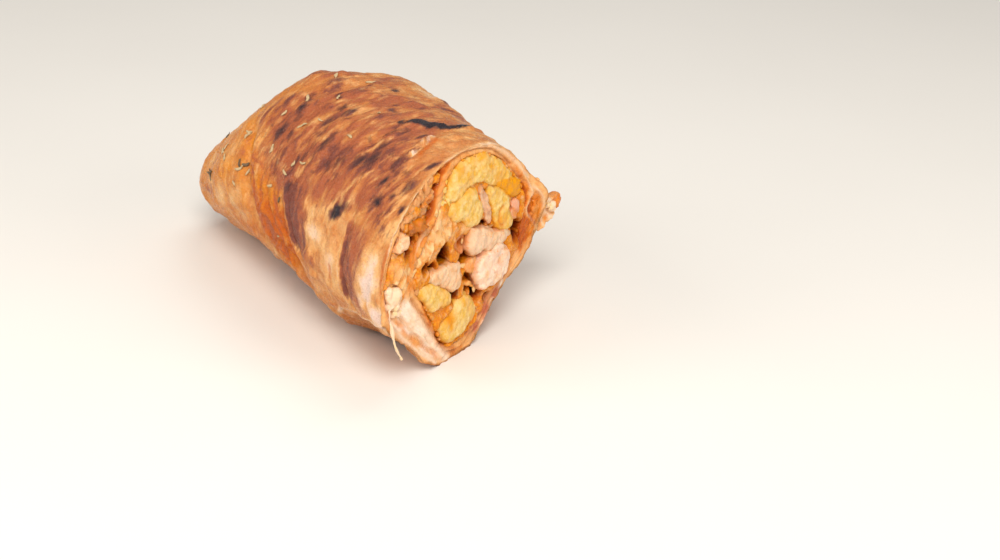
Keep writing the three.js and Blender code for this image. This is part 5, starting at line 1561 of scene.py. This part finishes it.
class WRAP_OT_filling(bpy.types.Operator):
    """Builds the sauced filling between the pieces, in the middle and in the side pocket"""

    bl_idname = "wrap.filling"
    bl_label = "Sauced filling"

    def execute(self, context):
        settings = context.scene.wrap_filling
        material = sauce_material(settings)
        for number, node in enumerate(["sauced_filling", "pocket_filling"]):
            made = copy_of_node(f"wet_{node}", node, settings.filling_face, 1)
            fine_front(made)
            points, outward = points_of(made)
            depth, across, up = behind_cut(points)
            front = smooth((7 - depth) / 3)
            along = across * math.cos(FIBROUS_TILT) + up * math.sin(FIBROUS_TILT)
            beside = up * math.cos(FIBROUS_TILT) - across * math.sin(FIBROUS_TILT)
            fibres = rough(np.stack([along / 4.5, beside, depth / 3], -1), 1.7, 531, 3)
            fibrous = most(*[region(outline, across, up, 3.0) for outline in (FIBROUS, FIBROUS_POCKET)])
            height = 0.6 + 0.6 * rough(points, 4.2, 501 + number, 2)
            height += 0.2 * rough(points, 1.5, 511 + number, 2)
            height += fibrous * (0.7 * fibres + 0.6 * rough(points, 2.0, 541, 2) + 0.5)
            dark = face_spots(DARK_OPENINGS, across, up)
            pale = 0.8 * face_spots(PALE_BITS, across, up) * (0.7 + 0.6 * rough(points, 2, 521, 2))
            pale = most(pale, fibrous * smooth(0.25 + 1.0 * fibres + 0.9 * rough(points, 2.4, 543, 3)))
            faces_cut = 1 - np.clip(-outward[:, 0], 0, 1)
            points = points + outward * (front * np.minimum(height, 0.5))[:, None]
            points[:, 0] += front * np.clip(height - 0.5, 0, 0.9) * (depth < 4) * faces_cut
            raised = FILLING_RAISE + 0.4 * pale - OPENING_DEPTH * smooth(dark)
            points[:, 0] += front * np.where(depth < 5, raised, 0)
            move_points(made, points)
            # Painted shade: the openings, and the filling the deeper it lies behind the cut, are darkened
            hole_shade = np.clip(1.6 * dark + 0.9 * smooth((depth - 4.5) / 4), 0, 1)
            mark_points(made, {"dark": hole_shade, "pale": np.clip(pale * 1.2 - dark, 0, 1)})
            dress(made, material, "sauce", node)
        return {"FINISHED"}


def on_face(across, up, depth, body, tilt):
    """Lays a lump on the cut, depth behind it, its first direction tilted from level."""
    turn = math.radians(tilt)
    out = np.array([math.cos(CUT_YAW), math.sin(CUT_YAW), 0])
    level = np.array([-math.sin(CUT_YAW), math.cos(CUT_YAW), 0])
    first = level * math.cos(turn) + np.array([0, 0, 1.0]) * math.sin(turn)
    z = MID_HEIGHT + up
    return (cut_at(across, z) - depth, across, z) + body @ (first, np.cross(out, first), out)


def one_of(rng, kinds):
    """The only kind, or one drawn by how often each comes."""
    return rng.choice(list(kinds), p=list(kinds.values())) if len(kinds) > 1 else next(iter(kinds))


class WRAP_OT_bits(bpy.types.Operator):
    """Lays shreds of meat and small bits of cheese, meat and potato over the filling"""

    bl_idname = "wrap.bits"
    bl_label = "Shreds and small bits"

    def execute(self, context):
        settings = context.scene.wrap_filling
        rng = np.random.default_rng(SEED + 2)
        kinds = {
            "pale": (chicken_material("pale_shreds", "#EFBC80", "#E59A50", settings), "sauced_chicken"),
            "orange": (chicken_material("sauced_shreds", "#DC8432", "#EDAA60", settings), "sauced_chicken"),
            "flaky": (chicken_material("flaky_shreds", "#D0925A", "#AC6230", settings), "sauced_chicken"),
            "cheese": (cheese_material(settings), "melted_cheese"),
            "mash": (potato_material(settings), "fried_potato"),
        }
        groups = {name: [] for name in kinds}
        for places, mix, seed, stretch, widths, uneven, fine, depths, tilts in CRUMBS:
            for number, (across, up, size, *own_depth) in enumerate(places, seed):
                half_sizes = (stretch * size, size * rng.uniform(*widths), 0.6 * size)
                body, faces = lump(half_sizes, number, 3, uneven)
                body *= (1 + fine * rough(body, 0.8, number, 2))[:, None]
                kind = one_of(rng, mix)
                depth = own_depth[0] if own_depth else rng.uniform(*depths)
                groups[kind].append((on_face(across, up, depth, body, rng.uniform(*tilts)), faces))
        for number, (across, up, tilt, size, width, tone) in enumerate(SHREDS):
            body, faces = lump((size / 2, 0.85 * width, 0.75), number, 3, 0.2)
            body[:, 1] += 0.12 * body[:, 0] ** 2 * rng.choice([-1, 1])
            body[:, 2] += 0.3 * np.sin(body[:, 0] * 1.2 + number)
            placed = on_face(across, up, 0.9 + rng.uniform(-0.3, 0.4), body, tilt)
            groups["pale" if tone > 0.45 else "orange"].append((placed, faces))
        hollows = closed_curve(CORE, 160), closed_curve(POCKET, 120)
        placed_bits = 0
        while placed_bits < BITS["count"]:
            y, up = rng.uniform(*BITS["across"]), rng.uniform(*BITS["up"])
            margin = min(outline_distance(outline, y, up)[0] for outline in hollows)
            if margin > -BITS["clear"] or face_spots(DARK_OPENINGS, y, up) > BITS["darkest"]:
                continue
            size = rng.uniform(*BITS["sizes"])
            body, faces = lump((size * rng.uniform(1, 1.8), size, size * 0.5), 50 + placed_bits)
            placed = on_face(y, up, rng.uniform(1.0, 1.6), body, rng.uniform(0, 180))
            groups[one_of(rng, BIT_KINDS)].append((placed, faces))
            placed_bits += 1
        for number, (across, up, size, depth) in enumerate(DRIPS):
            body, faces = lump((size, size * 0.8, size * 0.9), 400 + number, 3, 0.25)
            groups["cheese"].append((on_face(across, up, depth, body, 40), faces))
        for name, (material, slot) in kinds.items():
            dress(new_object(name + "_shreds", *joined(groups[name])), material, slot)
        return {"FINISHED"}


# Stage

CAMERA_PLACE = (537.46, -255.6, 249.49)
CAMERA_FORWARD = (-0.7616, 0.4936, -0.4199)
CAMERA_SIDE = (0.5439, 0.8391, 0.0)
CAMERA_ROLL = math.radians(2.711)
SENSOR_WIDTH = 36
FLOOR_REACH = 6
ROOM_LIGHT = 0.32
ROOM_COLOUR = "#F6F4F1"
LIT_PLACE = (0, 0, 0.03)
LIGHTS = [  # name, place in metres, size in metres, power in watts, colour
    ("front_light", (0.5, -0.3, 0.65), 0.4, 6.1, "#FFFDFA"),
    ("cut_light", (0.72, 0.35, 0.35), 0.45, 2.0, "#FFFCF8"),
    ("side_light", (-0.15, -0.75, 0.45), 0.45, 2.6, "#FFFDFA"),
    ("top_light", (-0.2, 0.3, 0.8), 0.5, 1.8, "#FFFFFF"),
]


def floor_material(s):
    """Matt wall paint, rolled on: an even pale ground with faint marks of the roller 100 mm apart."""
    made, tree, sources = new_material("floor_paint", [], {"roller": ("Noise", 100, EVEN, {"Detail": 2})})
    base = painted(tree, sources, s.floor, [("roller", 0, 1, 1, linear("#E5E0D8"))])
    finish(tree, sources, base, {"roller": 0.01}, Roughness=0.7)
    return made


class WRAP_OT_stage(bpy.types.Operator):
    """Builds the floor, the soft lights and the camera"""

    bl_idname = "wrap.stage"
    bl_label = "Stage"

    def execute(self, context):
        scene, settings = context.scene, context.scene.wrap_stage
        mesh = bmesh.new()
        bmesh.ops.create_grid(mesh, x_segments=1, y_segments=1, size=FLOOR_REACH)
        floor = bpy.data.objects.new("floor", bpy.data.meshes.new("floor"))
        mesh.to_mesh(floor.data)
        mesh.free()
        floor.data.materials.append(floor_material(settings))
        scene.collection.objects.link(floor)
        for name, place, size, power, tint in LIGHTS:
            light = bpy.data.lights.new(name, "AREA")
            light.size, light.energy, light.color = size, power, linear(tint)[:3]
            lamp = bpy.data.objects.new(name, light)
            lamp.location = place
            towards = Vector(LIT_PLACE) - Vector(place)
            lamp.rotation_euler = towards.to_track_quat("-Z", "Y").to_euler()
            scene.collection.objects.link(lamp)
        scene.world = bpy.data.worlds.new("soft_room")
        scene.world.use_nodes = True
        room = scene.world.node_tree.nodes["Background"].inputs
        room["Color"].default_value = linear(ROOM_COLOUR)
        room["Strength"].default_value = ROOM_LIGHT
        scene.view_settings.view_transform = "Standard"
        camera = bpy.data.objects.new("camera", bpy.data.cameras.new("camera"))
        camera.data.lens, camera.data.sensor_width = settings.lens, SENSOR_WIDTH
        forward, side = Vector(CAMERA_FORWARD).normalized(), Vector(CAMERA_SIDE).normalized()
        right = side * math.cos(CAMERA_ROLL) + side.cross(forward) * math.sin(CAMERA_ROLL)
        turned = Matrix((right, right.cross(forward), -forward)).transposed()
        camera.matrix_world = Matrix.Translation(to_metres(CAMERA_PLACE)) @ turned.to_4x4()
        scene.collection.objects.link(camera)
        scene.camera = camera
        return {"FINISHED"}


SETTINGS = {"wrap_lavash": LavashSettings, "wrap_filling": FillingSettings, "wrap_stage": StageSettings}
STEPS = [
    WRAP_OT_lavash, WRAP_OT_herbs, WRAP_OT_potatoes, WRAP_OT_chicken, WRAP_OT_cheese, WRAP_OT_filling,
    WRAP_OT_bits, WRAP_OT_stage,
]


class WRAP_PT_panel(bpy.types.Panel):
    """Lists the steps that build the wrap"""

    bl_idname = "WRAP_PT_panel"
    bl_label = "Doner kebab wrap"
    bl_space_type = "VIEW_3D"
    bl_region_type = "UI"
    bl_category = "Wrap"

    def draw(self, context):
        for step in STEPS:
            self.layout.operator(step.bl_idname)
        for group in SETTINGS:
            box = self.layout.box()
            values = getattr(context.scene, group)
            for name in values.__annotations__:
                box.prop(values, name)


def register():
    for item in [*SETTINGS.values(), *STEPS, WRAP_PT_panel]:
        bpy.utils.register_class(item)
    for name, group in SETTINGS.items():
        setattr(bpy.types.Scene, name, bpy.props.PointerProperty(type=group))


def unregister():
    for name in SETTINGS:
        delattr(bpy.types.Scene, name)
    for item in reversed([*SETTINGS.values(), *STEPS, WRAP_PT_panel]):
        bpy.utils.unregister_class(item)


def main():
    register()
    bpy.ops.wrap.lavash()
    bpy.ops.wrap.herbs()
    bpy.ops.wrap.potatoes()
    bpy.ops.wrap.chicken()
    bpy.ops.wrap.cheese()
    bpy.ops.wrap.filling()
    bpy.ops.wrap.bits()
    bpy.ops.wrap.stage()


if __name__ == "__main__":
    main()
